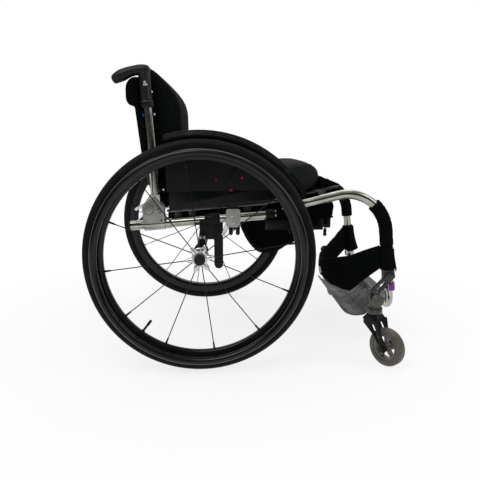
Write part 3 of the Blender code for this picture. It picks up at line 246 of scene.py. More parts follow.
finishes = {
    "polished": metalFinish("polished_aluminium", (0.28, 0.28, 0.25), (0.47, 0.46, 0.42), 0.15,
                            grain=(0.12, 1, 1)),
    "satin": metalFinish("satin_grey", (0.25, 0.255, 0.24), (0.40, 0.405, 0.385), 0.40, 0.55, specular=0.3),
    "armGrey": metalFinish("arm_grey", (0.035, 0.035, 0.032), (0.085, 0.085, 0.08), 0.30, 0.7, specular=0.3),
    "tray": metalFinish("tray_grey", (0.050, 0.050, 0.048), (0.125, 0.125, 0.120), 0.34, 0.5, specular=0.3),
    "blackMetal": metalFinish("black_metal", (0.003, 0.0035, 0.0035), (0.009, 0.010, 0.010), 0.36, 0.0,
                              specular=0.14),
    "steel": metalFinish("bright_steel", (0.55, 0.55, 0.54), (0.80, 0.80, 0.79), 0.20, 0.85),
    "magenta": metalFinish("magenta_anodised", (0.26, 0.006, 0.045), (0.46, 0.02, 0.10), 0.28, 0.7,
                           specular=0.3),
    "blue": metalFinish("blue_anodised", (0.02, 0.04, 0.30), (0.04, 0.10, 0.50), 0.28, 0.5),
    "violet": metalFinish("violet_anodised", (0.14, 0.01, 0.20), (0.26, 0.03, 0.32), 0.30, 0.5),
    "tyre": mouldedFinish("tyre_rubber", (0.003, 0.0036, 0.0038), (0.008, 0.009, 0.0095), 0.55,
                          specular=0.10),
    "gloss": mouldedFinish("gloss_black", (0.0022, 0.0027, 0.003), (0.0055, 0.0064, 0.0069), 0.24, 300,
                           0.00001, 0.15, 0.0016),
    "rim": mouldedFinish("rim_black", (0.0025, 0.003, 0.0033), (0.006, 0.007, 0.0075), 0.20, 300, 0.00001,
                         0.26),
    "plastic": mouldedFinish("black_plastic", (0.004, 0.0045, 0.005), (0.011, 0.012, 0.013), 0.40,
                             specular=0.2),
    "foam": mouldedFinish("black_foam", (0.0010, 0.0014, 0.0016), (0.0035, 0.004, 0.0044), 0.85, 2200,
                          0.00012, 0.03),
    "casterTyre": mouldedFinish("caster_rubber", (0.055, 0.047, 0.038), (0.120, 0.104, 0.084), 0.45,
                                specular=0.4),
    "casterHub": mouldedFinish("caster_hub_grey", (0.040, 0.037, 0.034), (0.15, 0.145, 0.14), 0.30,
                               specular=0.4),
    "cushion": clothFinish("cushion_cloth", (0.0065, 0.0072, 0.0078), (0.017, 0.0185, 0.0195), 0.85, 0.0007,
                           0.00012, 0.01),
    "backCloth": clothFinish("back_cloth", (0.0016, 0.0022, 0.0025), (0.0048, 0.0058, 0.0064), 0.85, 0.0007,
                             0.00012,
                             0.004, specular=0.05),
    "cloth": clothFinish("black_cloth", (0.0009, 0.0012, 0.0014), (0.0040, 0.0048, 0.0052), 0.9, 0.0009,
                         0.00018, 0.004,
                         specular=0.04),
    "webbing": clothFinish("black_webbing", (0.002, 0.0025, 0.0028), (0.0075, 0.0085, 0.009), 0.85, 0.0016,
                           0.0003,
                           0.006, specular=0.06),
    "thread": clothFinish("seam_thread", (0.007, 0.008, 0.0085), (0.022, 0.023, 0.025), 0.8, 0.0004, 0.0001),
    "greyBinding": clothFinish("grey_binding", (0.045, 0.046, 0.048), (0.10, 0.10, 0.105), 0.8, 0.0008,
                               0.00015),
    "paleCord": clothFinish("pale_cord", (0.25, 0.25, 0.24), (0.45, 0.45, 0.43), 0.7, 0.0006, 0.0002),
    "redLabel": clothFinish("red_tab", (0.10, 0.005, 0.010), (0.20, 0.009, 0.018), 0.7, 0.0006, 0.0001),
}
print("finishes made:", len(finishes))


# Making of shapes

def dressed(thing, material, body, smoothUpTo=35, slot=None):
    # finish, shading and body of one piece; its name is already set
    mesh = thing.data
    mesh.materials.clear()
    mesh.materials.append(finishes[material])
    mesh.shade_smooth()
    mesh.set_sharp_from_angle(angle=math.radians(smoothUpTo))
    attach(thing, body)
    return thing


def pieceOf(name, points, faces):
    mesh = bpy.data.meshes.new(name)
    mesh.from_pydata([tuple(p) for p in points], [], faces)
    shape = bmesh.new()
    shape.from_mesh(mesh)
    bmesh.ops.remove_doubles(shape, verts=shape.verts, dist=0.000001)
    bmesh.ops.recalc_face_normals(shape, faces=shape.faces)
    shape.to_mesh(mesh)
    shape.free()
    thing = bpy.data.objects.new(name, mesh)
    bpy.context.scene.collection.objects.link(thing)
    return thing


def built(name, shape, material, body, smoothUpTo, slot=None):
    return dressed(pieceOf(name, *shape), material, body, smoothUpTo, slot)


def ringFaces(spans, count, wrap=None, last=None):
    # faces from each ring of points to the next; at wrap the rings start again with the first
    wrap = wrap or spans + 1
    return [(i * count + k, (i + 1) % wrap * count + k, (i + 1) % wrap * count + (k + 1) % count,
             i * count + (k + 1) % count) for i in range(spans) for k in range(last or count)]


def cappedFaces(spans, count):
    # the same, closed at both ends
    ends = [tuple(range(count)), tuple(spans * count + k for k in range(count))[::-1]]
    return ringFaces(spans, count) + ends


def turnedShape(profile, steps, place, ring=True):
    # (radius, height) points turned about the Z axis of the given matrix
    count = len(profile)
    turns = [2 * math.pi * i / steps for i in range(steps)]
    points = [place @ Vector((r * math.cos(turn), r * math.sin(turn), z))
              for turn in turns for r, z in profile]
    return points, ringFaces(steps, count, steps, count if ring else count - 1)


def tubeShape(route, radii, around=24, closed=False):
    # a round tube along a route, its rings turned as little as the route allows, ends capped
    route = [Vector(p) for p in route]
    if isinstance(radii, (int, float)):
        radii = [radii] * len(route)
    heading = (route[1] - route[0]).normalized()
    across = heading.orthogonal().normalized()
    points = []
    for i, (here, radius) in enumerate(zip(route, radii)):
        before = route[i - 1] if i or closed else here
        after = route[(i + 1) % len(route)] if closed or i < len(route) - 1 else here
        ahead = (after - before).normalized()
        across = (across - across.dot(ahead) * ahead).normalized()
        up = ahead.cross(across)
        points += [here + (across * math.cos(2 * math.pi * k / around)
                           + up * math.sin(2 * math.pi * k / around)) * radius for k in range(around)]
    rings = len(route)
    spans = rings if closed else rings - 1
    faces = [(i * around + k, i * around + (k + 1) % around,
              ((i + 1) % rings) * around + (k + 1) % around, ((i + 1) % rings) * around + k)
             for i in range(spans) for k in range(around)]
    if not closed:
        faces += [tuple(range(around))[::-1], tuple((rings - 1) * around + k for k in range(around))]
    return points, faces


def joined(*shapes):
    points, faces = [], []
    for morePoints, moreFaces in shapes:
        start = len(points)
        points += morePoints
        faces += [tuple(k + start for k in face) for face in moreFaces]
    return points, faces


def rodShape(start, end, radius, endRadius=None, around=20, rounding=0.0006):
    # a rod whose ends are slightly rounded
    start, end = Vector(start), Vector(end)
    endRadius = radius if endRadius is None else endRadius
    way = (end - start).normalized()
    ease = min(rounding, (end - start).length * 0.3)
    route = [start, start + way * ease * 0.3, start + way * ease, end - way * ease, end - way * ease * 0.3,
             end]
    return tubeShape(route, [radius - ease, radius - ease * 0.3, radius, endRadius, endRadius - ease * 0.3,
                             endRadius - ease], around)


def filletedRoute(corners, radii, step=math.radians(4)):
    corners = [Vector(c) for c in corners]
    route = [corners[0]]
    for before, corner, after, radius in zip(corners, corners[1:], corners[2:], radii):
        back = (before - corner).normalized()
        on = (after - corner).normalized()
        turn = math.pi - back.angle(on)
        middle = corner + (back + on).normalized() * radius / math.cos(turn / 2)
        start = corner + back * radius * math.tan(turn / 2) - middle
        end = corner + on * radius * math.tan(turn / 2) - middle
        axis = start.cross(end).normalized()
        count = max(2, round(turn / step))
        route += [middle + Matrix.Rotation(turn * i / count, 3, axis) @ start for i in range(count + 1)]
    route.append(corners[-1])
    return route


def smoothRoute(points, count):
    points = [Vector(p) for p in points]
    ends = [2 * points[0] - points[1], *points, 2 * points[-1] - points[-2]]
    spans = len(points) - 1
    route = []
    for i in range(count):
        along = spans * i / (count - 1)
        k = min(int(along), spans - 1)
        t = along - k
        a, b, c, d = ends[k:k + 4]
        route.append(0.5 * (2 * b + (c - a) * t + (2 * a - 5 * b + 4 * c - d) * t * t
                            + (3 * b - a - 3 * c + d) * t ** 3))
    return route


def plateShape(outline, low, high, place=None):
    # an outline of (x, z) points as a plate from y low to y high
    count = len(outline)
    points = [spot(x, y, z) for y in (low, high) for x, z in outline]
    if place is not None:
        points = [place @ Vector((x, y, z)) for y in (low, high) for x, z in outline]
    faces = [(i, (i + 1) % count, count + (i + 1) % count, count + i) for i in range(count)]
    return points, faces + [tuple(range(count))[::-1], tuple(range(count, 2 * count))]


def boxPoints(lowX, lowZ, highX, highZ):
    return [(lowX, lowZ), (highX, lowZ), (highX, highZ), (lowX, highZ)]


def arcPoints(centre, radius, start, end, steps):
    return [(centre[0] + radius * math.cos(mixed(start, end, i / steps)),
             centre[1] + radius * math.sin(mixed(start, end, i / steps))) for i in range(steps + 1)]


def softened(thing, width, segments=2, angle=40):
    edge = thing.modifiers.new("edge", "BEVEL")
    edge.width = width
    edge.segments = segments
    edge.limit_method = "ANGLE"
    edge.angle_limit = math.radians(angle)
    edge.harden_normals = True
    return thing


def finishedCad(name, material, round=0.0008):
    # a frame node that stays as it is, with rounded edges and its finish
    thing = frame["nodes"][name]
    weld = thing.modifiers.new("weld", "WELD")
    weld.merge_threshold = 0.00002
    softened(thing, round, 2, 38)
    thing.data.materials.clear()
    thing.data.materials.append(finishes[material])
    thing.data.shade_smooth()
    thing.data.set_sharp_from_angle(angle=math.radians(38))
    return thing


def facing(side, x, y, z):
    # frame whose Z axis points outboard on that side
    return Matrix.Translation(spot(x, side * y, z)) @ Matrix.Rotation(-side * math.pi / 2, 4, "X")


def screwShape(place, radius, height):
    # domed screw head with a socket in its middle
    profile = [(0.0, height * 0.35), (radius * 0.34, height * 0.35), (radius * 0.40, height * 0.95),
               (radius * 0.62, height), (radius * 0.88, height * 0.78), (radius, height * 0.35),
               (radius, 0.0), (0.0, 0.0)]
    return turnedShape(profile, 20, place, False)


def screws(name, spots, radius, height, material, body):
    # a set of screw heads: each spot is (x, distance outboard, z), made on both sides
    shapes = [screwShape(facing(side, *place), radius, height) for side, _ in sides for place in spots]
    return built(name, joined(*shapes), material, body, 40)


def wheelPlace(side):
    hub = Vector((chair["axleX"], side * chair["hubY"], chair["axleZ"]))
    return Matrix.Translation(hub) @ Matrix.Rotation(-side * (math.pi / 2 - chair["camber"]), 4, "X")


# Rear wheels, in the wheel's own frame: Z outboard along the axle

tyre = {"line": 0.2825, "radius": 0.0125, "seat": 0.2703, "grooves": (-24, -8, 8, 24), "grooveDepth": 0.0007,
        "steps": 180}


def makeTyre(side, name):
    profile = []
    for degrees in range(-130, 131, 4):
        turn = math.radians(degrees)
        depth = sum(tyre["grooveDepth"] * math.exp(-((degrees - g) / 2.4) ** 2) for g in tyre["grooves"])
        ridge = 0.0003 * math.exp(-((abs(degrees) - 82) / 4) ** 2)
        r = tyre["radius"] - depth + ridge
        profile.append((tyre["line"] + r * math.cos(turn), r * math.sin(turn)))
    profile += [(tyre["seat"], 0.0090), (tyre["seat"], -0.0090)]
    return built("tyre_cover_" + name, turnedShape(profile, tyre["steps"], wheelPlace(side)), "tyre",
                 "wheel_" + name, 60, "tyre_rubber")


rim = {"steps": 180, "spokes": 12, "spokeStart": math.radians(8), "inner": 0.2425,
       "valveAngle": math.radians(-128)}


def makeRim(side, name):
    half = [(0.2700, 0.0090), (0.2704, 0.0098), (0.2698, 0.0104), (0.2675, 0.0107), (0.2640, 0.0108),
            (0.2600, 0.01078), (0.2550, 0.0107), (0.2505, 0.0103), (0.2470, 0.0096), (0.2445, 0.0084),
            (0.2430, 0.0066), (0.2424, 0.0042), (0.2421, 0.0014)]
    profile = half + [(r, -z) for r, z in reversed(half)]
    return built("rim_hoop_" + name, turnedShape(profile, rim["steps"], wheelPlace(side)), "rim",
                 "wheel_" + name, 50, "gloss_black")


def onRay(place, turn, radius, height):
    return place @ Vector((radius * math.cos(turn), radius * math.sin(turn), height))


def makeValve(side, name):
    place = wheelPlace(side)
    turn = rim["valveAngle"]
    parts = [((rim["inner"] + 0.001, 0.0030), (0.2215, 0.0030)), ((0.2422, 0.0052), (0.2400, 0.0052)),
             ((0.2215, 0.0039), (0.2065, 0.0034))]
    shapes = [rodShape(onRay(place, turn, start, 0), onRay(place, turn, end, 0), r0, r1, 16)
              for (start, r0), (end, r1) in parts]
    return built("valve_" + name, joined(*shapes), "plastic", "wheel_" + name, 40)


handrim = {"ring": 0.2605, "radius": 0.0095, "out": 0.036, "tabs": 6, "tabStart": math.radians(-34)}


def makeHandrim(side, name):
    place = wheelPlace(side)
    around = 24
    profile = [(handrim["ring"] + handrim["radius"] * math.cos(2 * math.pi * k / around),
                handrim["out"] + handrim["radius"] * math.sin(2 * math.pi * k / around))
               for k in range(around)]
    hoop = turnedShape(profile, 180, place)
    tabs = []
    for k in range(handrim["tabs"]):
        turn = handrim["tabStart"] + 2 * math.pi * k / handrim["tabs"]
        tabs.append(rodShape(onRay(place, turn, handrim["ring"], 0.0111),
                             onRay(place, turn, handrim["ring"], 0.030), 0.0052, 0.0038, 16))
        tabs.append(rodShape(onRay(place, turn, handrim["ring"], 0.0109),
                             onRay(place, turn, handrim["ring"], 0.0140), 0.0070, 0.0064, 16))
    return built("handrim_tube_" + name, joined(hoop, *tabs), "rim", "wheel_" + name, 45, "gloss_black")


hub = {"end": 0.0335, "flange": -0.016, "lugs": 0.024, "lugRadius": 0.0300, "pinHole": 0.00665}


def makeHub(side, name):
    place = wheelPlace(side)
    profile = [(0.0125, hub["end"]), (0.0130, hub["end"] - 0.0008), (0.0130, 0.0315), (0.0172, 0.0308),
               (0.0180, 0.0298), (0.0180, 0.0190), (0.0172, 0.0180), (0.0115, 0.0160), (0.0110, 0.0140),
               (0.0108, 0.0), (0.0112, -0.0100), (0.0125, -0.0118), (0.0210, -0.0122), (0.0220, -0.0130),
               (0.0220, -0.0192), (0.0210, -0.0200), (0.0125, -0.0203), (0.0115, -0.0215),
               (0.0112, -0.0290), (0.0104, -0.0300), (hub["pinHole"], -0.0300),
               (hub["pinHole"], hub["end"])]
    collar = [(0.0186, hub["end"] - 0.0030), (0.0192, hub["end"] - 0.0036), (0.0192, 0.0262),
              (0.0186, 0.0256), (0.0170, 0.0256), (0.0170, hub["end"] - 0.0030)]
    shapes = [turnedShape(profile, 56, place), turnedShape(collar, 56, place)]
    for k in range(0, rim["spokes"], 2):
        turn = rim["spokeStart"] + 2 * math.pi * k / rim["spokes"]
        shapes.append(rodShape(onRay(place, turn, 0.0150, hub["lugs"]),
                               onRay(place, turn, hub["lugRadius"], hub["lugs"]),
                               0.0074, 0.0064, 20, 0.0012))
        shapes.append(rodShape(onRay(place, turn, hub["lugRadius"] - 0.0006, hub["lugs"]),
                               onRay(place, turn, hub["lugRadius"] + 0.0060, hub["lugs"] - 0.0010), 0.0044,
                               0.0036, 16))
    return built("hub_shell_" + name, joined(*shapes), "steel", "wheel_" + name, 40, "bright_steel")


def spokeEnds(place, k):
    turn = rim["spokeStart"] + 2 * math.pi * k / rim["spokes"]
    if k % 2:
        return turn, onRay(place, turn, 0.019, hub["flange"])
    return turn, onRay(place, turn, hub["lugRadius"] - 0.003, hub["lugs"])


def makeSpokes(side, name):
    place = wheelPlace(side)
    spokes, nipples = [], []
    for k in range(rim["spokes"]):
        turn, start = spokeEnds(place, k)
        end = onRay(place, turn, rim["inner"] - 0.0006, 0)
        way = (end - start).normalized()
        spokes.append(tubeShape([start, start + way * 0.004, start + way * 0.012, end - way * 0.004, end],
                                [0.0021, 0.0021, 0.0013, 0.0013, 0.0013], 10))
        nipples.append(rodShape(end - way * 0.0160, end + way * 0.0004, 0.0021, 0.0028, 12, 0.0005))
    built("spokes_" + name, joined(*spokes), "blackMetal", "wheel_" + name, 50)
    # the same nipples on both wheels get two finishes, black on the right and bright steel on the left: a lit
    # copy and a shaded copy of one part, painted light rather than a real difference
    finish = {"right": "blackMetal", "left": "steel"}[name]
    return built("spoke_nipples_" + name, joined(*nipples), finish, "wheel_" + name, 40)


def makeButton(side, name):
    place = wheelPlace(side)
    face = hub["end"] + 0.0055
    profile = [(0.0, face + 0.0052), (0.0060, face + 0.0050), (0.0066, face + 0.0054),
               (0.0120, face + 0.0052), (0.0136, face + 0.0044), (0.0142, face + 0.0030),
               (0.0142, face + 0.0004), (0.0136, face), (0.0040, face), (0.0040, hub["end"] - 0.0095),
               (0.0034, hub["end"] - 0.0100), (0.0, hub["end"] - 0.0100)]
    return built("axle_cap_" + name, turnedShape(profile, 48, place, False), "plastic", "button_" + name,
                 30, "black_plastic")


def makeWheels():
    for side, name in sides:
        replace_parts(makeTyre(side, name), "tyre_" + name)
        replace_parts(makeRim(side, name), "rim_" + name)
        makeValve(side, name)
        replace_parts(makeHandrim(side, name), "handrim_" + name)
        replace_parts(makeHub(side, name), "hub_" + name)
        makeSpokes(side, name)
        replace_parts(makeButton(side, name), "axle_button_" + name)
        finishedCad("axle_pin_" + name, "steel", 0.0003)
    print("rear wheels made")


# Frame tubes

sideTube = {"rearX": -0.184, "kinkX": 0.21, "rise": (0.262, 0.4165), "bendZ": 0.4695, "footZ": 0.19,
            "radii": (0.06, 0.10, 0.11)}
foam = {"thick": 0.0057, "footZ": {-1: 0.3045, 1: 0.322}, "fromX": 0.462}


def tubeRoute(side, step=math.radians(3)):
    y = side * chair["tubeY"]
    bendZ = sideTube["bendZ"]
    return filletedRoute([(sideTube["rearX"], y, seatLine(sideTube["rearX"])),
                          (sideTube["kinkX"], y, seatLine(sideTube["kinkX"])),
                          (sideTube["rise"][0], y, sideTube["rise"][1]), (legLine(bendZ), y, bendZ),
                          (legLine(sideTube["footZ"]), y, sideTube["footZ"])], sideTube["radii"], step)


def legSpot(z, side):
    return spot(legLine(z), side * chair["tubeY"], z)


def makeTubes():
    r = chair["tubeRadius"]
    for side, name in sides:
        route = [spot(*p) for p in tubeRoute(side)]
        thing = built("frame_tube_" + name, tubeShape(route, r, 32), "polished", "frame", 40,
                      "polished_aluminium")
        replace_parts(thing, "side_tube_" + name)
        back = (route[0] - route[1]).normalized()
        plug = rodShape(route[0] - back * 0.0005, route[0] + back * 0.0045, 0.0123, 0.0110, 28, 0.0012)
        built("tube_plug_" + name, plug, "plastic", "frame", 40)
        bend = [p for p in tubeRoute(side) if p.x > foam["fromX"] and p.z > foam["footZ"][side] + 0.022]
        sleeve = [spot(*p) for p in bend] + [legSpot(z, side)
                                             for z in np.linspace(foam["footZ"][side] + 0.02,
                                                                  foam["footZ"][side], 5)]
        outer = r + foam["thick"]
        first, last = (sleeve[0] - sleeve[1]).normalized(), (sleeve[-1] - sleeve[-2]).normalized()
        walls = [sleeve[0], sleeve[0] - first * 0.0015, *sleeve[1:-1], sleeve[-1] - last * 0.0015, sleeve[-1]]
        creased = [outer + 0.0003 - 0.0009 * abs(math.sin(1.3 * k + side)) ** 3
                   for k in range(len(sleeve) - 2)]
        radii = [outer - 0.0016, outer, *creased, outer, outer - 0.0016]
        thing = built("foam_cover_" + name, tubeShape(walls, radii, 32), "foam", "frame", 50, "black_foam")
        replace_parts(thing, "tube_sleeve_" + name)
    finishedCad("cross_tube", "polished", 0.0003)
    finishedCad("camber_tube", "blackMetal", 0.0005)
    print("frame tubes made")


# Footrest

footrest = {"radius": 0.010, "runZ": 0.125, "bend": 0.045, "clampRadius": 0.0165}


def makeFootrest():
    top = sideTube["footZ"] - 0.002
    runX = legLine(footrest["runZ"])
    y = chair["tubeY"]
    corners = ((legLine(top), -y, top), (runX, -y, footrest["runZ"]), (runX, y, footrest["runZ"]),
               (legLine(top), y, top))
    route = [spot(*p) for p in filletedRoute(corners, (footrest["bend"],) * 2)]
    shapes = [tubeShape(route, footrest["radius"], 28)]
    for side, _ in sides:
        low, high = legSpot(sideTube["footZ"] - 0.010, side), legSpot(sideTube["footZ"] + 0.012, side)
        shapes.append(rodShape(low, high, footrest["clampRadius"], None, 28, 0.0012))
    thing = built("footrest_bow", joined(*shapes), "polished", "frame", 40, "polished_aluminium")
    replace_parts(thing, "footrest_tube")
    print("footrest made")


tray = {"half": 0.175, "thick": 0.0036, "clampY": 0.09, "clampRadius": 0.0135,
        "line": ((-0.125, -0.011), (-0.1175, -0.0195), (-0.108, -0.026), (-0.096, -0.0305), (-0.083, -0.0325),
                 (-0.070, -0.0318), (-0.058, -0.0285), (-0.038, -0.012), (-0.020, 0.0085), (-0.010, 0.0144),
                 (0, 0.0162))}


def makeFootplate():
    # a pressed tray with shallow creases along it and a rolled edge, held on the bow by two clamps
    runX, runZ = legLine(footrest["runZ"]), footrest["runZ"]
    corners = [(runX + a, 0, runZ + b) for a, b in tray["line"]] + [(0.5365, 0, runZ + 0.0205)]
    route = smoothRoute(corners, 90)
    creases = (-0.150, -0.105, -0.062, -0.015, 0.040, 0.095, 0.145)

    def place(across, along):
        v = 2 * across - 1
        p = route[min(89, round(along * 89))]
        y = v * tray["half"]
        press = sum(0.0012 * math.exp(-((y - c - 0.010 * math.sin(3 * along + 9 * c)) / 0.0032) ** 2)
                    for c in creases)
        dish = 0.0022 * (1 - v * v) * math.sin(math.pi * along)
        swell = 0.0010 * waver(p.x * 22, y * 14, 1.3)
        trim = 1 - 0.022 * math.exp(-(along / 0.045) ** 2) - 0.018 * math.exp(-((1 - along) / 0.05) ** 2)
        return spot(p.x, y * trim, p.z - press * math.sin(math.pi * along) - dish + swell)

    thing = grownSkin("foot_tray", *netShape(140, 60, place), tray["thick"], "tray", "frame", "satin_grey")
    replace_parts(thing, "footplate")
    rim = [place(0.0, k / 60) for k in range(61)] + [place(a / 60, 1.0) for a in range(1, 60)]
    rim += [place(1.0, k / 60) for k in range(60, -1, -1)] + [place(a / 60, 0.0) for a in range(59, 0, -1)]
    rolled = tubeShape(rim, 0.0028, 10, True)
    built("foot_tray_rim", rolled, "tray", "frame", 60, "satin_grey")
    clamps, bolts = [], []
    for y in (-tray["clampY"], tray["clampY"]):
        middle = spot(runX, y, runZ)
        ring = [(tray["clampRadius"] - 0.0008, -0.012), (tray["clampRadius"], -0.0112),
                (tray["clampRadius"], 0.0112), (tray["clampRadius"] - 0.0008, 0.012), (0.0104, 0.012),
                (0.0104, -0.012)]
        clamps.append(turnedShape(ring, 36,
                                  Matrix.Translation(middle) @ Matrix.Rotation(math.pi / 2, 4, "X")))
        bolts += [screwShape(Matrix.Translation(spot(runX - 0.004, y + off, runZ + 0.0190)), 0.0035, 0.0022)
                  for off in (-0.007, 0.007)]
    built("foot_tray_clamps", joined(*clamps), "satin", "frame", 40, "satin_grey")
    built("foot_tray_bolts", joined(*bolts), "steel", "frame", 40)
    print("footplate made")


# Back

def postSpot(z, side):
    return spot(postLine(z), side * chair["tubeY"], z)


backPost = {"footZ": 0.435, "topZ": 0.7115, "collar": (0.6655, 0.6836), "collarRadius": 0.0175,
            "blockRadius": 0.019, "blockHalf": 0.0125, "blueScrewZ": 0.6463,
            "tabs": ((0.0151, 0.7040), (0.0167, 0.6490), (0.0219, 0.4574)), "tabHalf": 0.0018,
            "rearPlates": ((0.0045, 0.0015, ((0.0132, 0.5830), (0.0178, 0.5850), (0.0185, 0.6130),
                                             (0.0132, 0.6154))),
                           (0, 0.0040, ((0.0126, 0.4700), (0.0165, 0.4700), (0.0165, 0.6600),
                                        (0.0126, 0.6600))))}


def makePosts():
    for side, name in sides:
        tube = tubeShape([postSpot(backPost["footZ"], side), postSpot(backPost["topZ"], side)],
                         chair["tubeRadius"], 32)
        thing = built("post_tube_" + name, tube, "polished", "back", 40, "polished_aluminium")
        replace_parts(thing, "back_post_" + name)
        collar = rodShape(postSpot(backPost["collar"][0], side), postSpot(backPost["collar"][1], side),
                          backPost["collarRadius"], None, 28, 0.0014)
        built("post_collar_" + name, collar, "plastic", "back", 40, "black_plastic")
        y = side * chair["tubeY"]
        x, z = chair["pivotX"], chair["pivotZ"]
        outline = arcPoints((x, z), backPost["blockRadius"], math.radians(150), math.radians(330), 24)
        outline += [(x + 0.029, z + 0.012), (x + 0.029, z + 0.040), (x + 0.004, z + 0.041)]
        block = plateShape(outline, y - backPost["blockHalf"], y + backPost["blockHalf"])
        softened(built("post_block_" + name, block, "polished", "back", 40, "polished_aluminium"), 0.0012)
    tabs, half = [], backPost["tabHalf"]
    for side, _ in sides:
        y = side * chair["tubeY"]
        for ahead, z in backPost["tabs"]:
            x = postLine(z)
            outline = arcPoints((x + ahead, z), 0.0042, -math.pi / 2, math.pi / 2, 8)
            outline += [(x + 0.0132, z + 0.0042), (x + 0.0132, z - 0.0042)]
            tabs.append(plateShape(outline, y - half, y + half))
    softened(built("post_tabs", joined(*tabs), "blackMetal", "back", 40, "black_metal"), 0.0005)
    screws("post_screws",
           [(postLine(z) + ahead, chair["tubeY"] + half, z) for ahead, z in backPost["tabs"]],
           0.0030, 0.0022, "steel", "back")
    blue = backPost["blueScrewZ"]
    screws("post_blue_screws", [(postLine(blue) - 0.0115, chair["tubeY"] + 0.0066, blue)], 0.0042,
           0.0030, "blue", "back")
    plates = []
    for side, _ in sides:
        for out, half, outline in backPost["rearPlates"]:
            y = side * (chair["tubeY"] + out)
            plates.append(plateShape([(postLine(z) - behind, z) for behind, z in outline],
                                     y - half, y + half))
    softened(built("post_rear_plates", joined(*plates), "armGrey", "back", 40), 0.0006)
    print("back posts made")


handle = {"z": 0.7500, "sleeveRadius": 0.0155, "rod": ((-0.1268, 0.7150), (-0.1241, 0.6862)),
          "screws": ((-0.1340, 0.7262, 0.0038), (-0.1300, 0.7205, 0.0034), (-0.1352, 0.7195, 0.0026)),
          "grip": ((-0.1215, 0.0060, 0.0070), (-0.1265, 0.0064, 0.0116), (-0.1342, 0.0074, 0.0134),
                   (-0.1455, 0.0077, 0.0133), (-0.1606, 0.0058, 0.0126), (-0.1756, 0.0014, 0.0135),
                   (-0.1894, -0.0044, 0.0150), (-0.2007, -0.0097, 0.0140), (-0.2105, -0.0155, 0.0115),
                   (-0.2140, -0.0173, 0.0085), (-0.2157, -0.0182, 0.0030))}


def makeHandles():
    for side, name in sides:
        y = side * chair["tubeY"]
        line = smoothRoute([(x, rise, radius) for x, rise, radius in handle["grip"]], 50)
        route = [spot(p.x, y, handle["z"] + p.y) for p in line]
        radii = [p.z for p in line]
        low = backPost["collar"][1] + 0.0003
        sleeve = rodShape(postSpot(low, side), postSpot(handle["z"] + 0.004, side), handle["sleeveRadius"],
                          0.0148, 28)
        thing = built("handle_grip_" + name, joined(tubeShape(route, radii, 32), sleeve), "plastic", "back",
                      50, "black_plastic")
        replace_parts(thing, "push_handle_" + name)
    clusters, rods = [], []
    for side, _ in sides:
        for x, z, r in handle["screws"]:
            clusters.append(screwShape(facing(side, x, chair["tubeY"] + 0.0142, z), r, 0.0034))
        y = side * (chair["tubeY"] + 0.0150)
        top, foot = [spot(x, y, z) for x, z in handle["rod"]]
        rods.append(rodShape(top, foot, 0.0016, None, 12))
        ring = [(0.0176, -0.0012), (0.0181, -0.0006), (0.0181, 0.0006), (0.0176, 0.0012), (0.0168, 0.0012),
                (0.0168, -0.0012)]
        lean = (postSpot(0.70, side) - postSpot(0.60, side)).to_track_quat("Z", "Y").to_matrix().to_4x4()
        rods.append(turnedShape(
            ring, 40, Matrix.Translation(postSpot(backPost["collar"][1] - 0.0030, side)) @ lean))
    built("handle_neck_screws", joined(*clusters), "steel", "back", 40)
    built("handle_neck_rods", joined(*rods), "armGrey", "back", 40)
    print("push handles made")


# Side guards

guard = {"screws": ((0.0430, 0.4855), (0.1077, 0.4909), (0.0797, 0.4594)), "frontScrew": (0.1951, 0.4361),
         "slots": ((0.0644, 0.4712), (0.0938, 0.4711), (0.0643, 0.4600), (0.0951, 0.4606)),
         "slotRadius": 0.0026}
fender = {"clear": 0.0065, "thick": 0.015, "width": 0.0385, "from": 29.2, "to": 106.6, "steps": 90,
          "guardOut": 0.0275,
          "plate": 0.003}


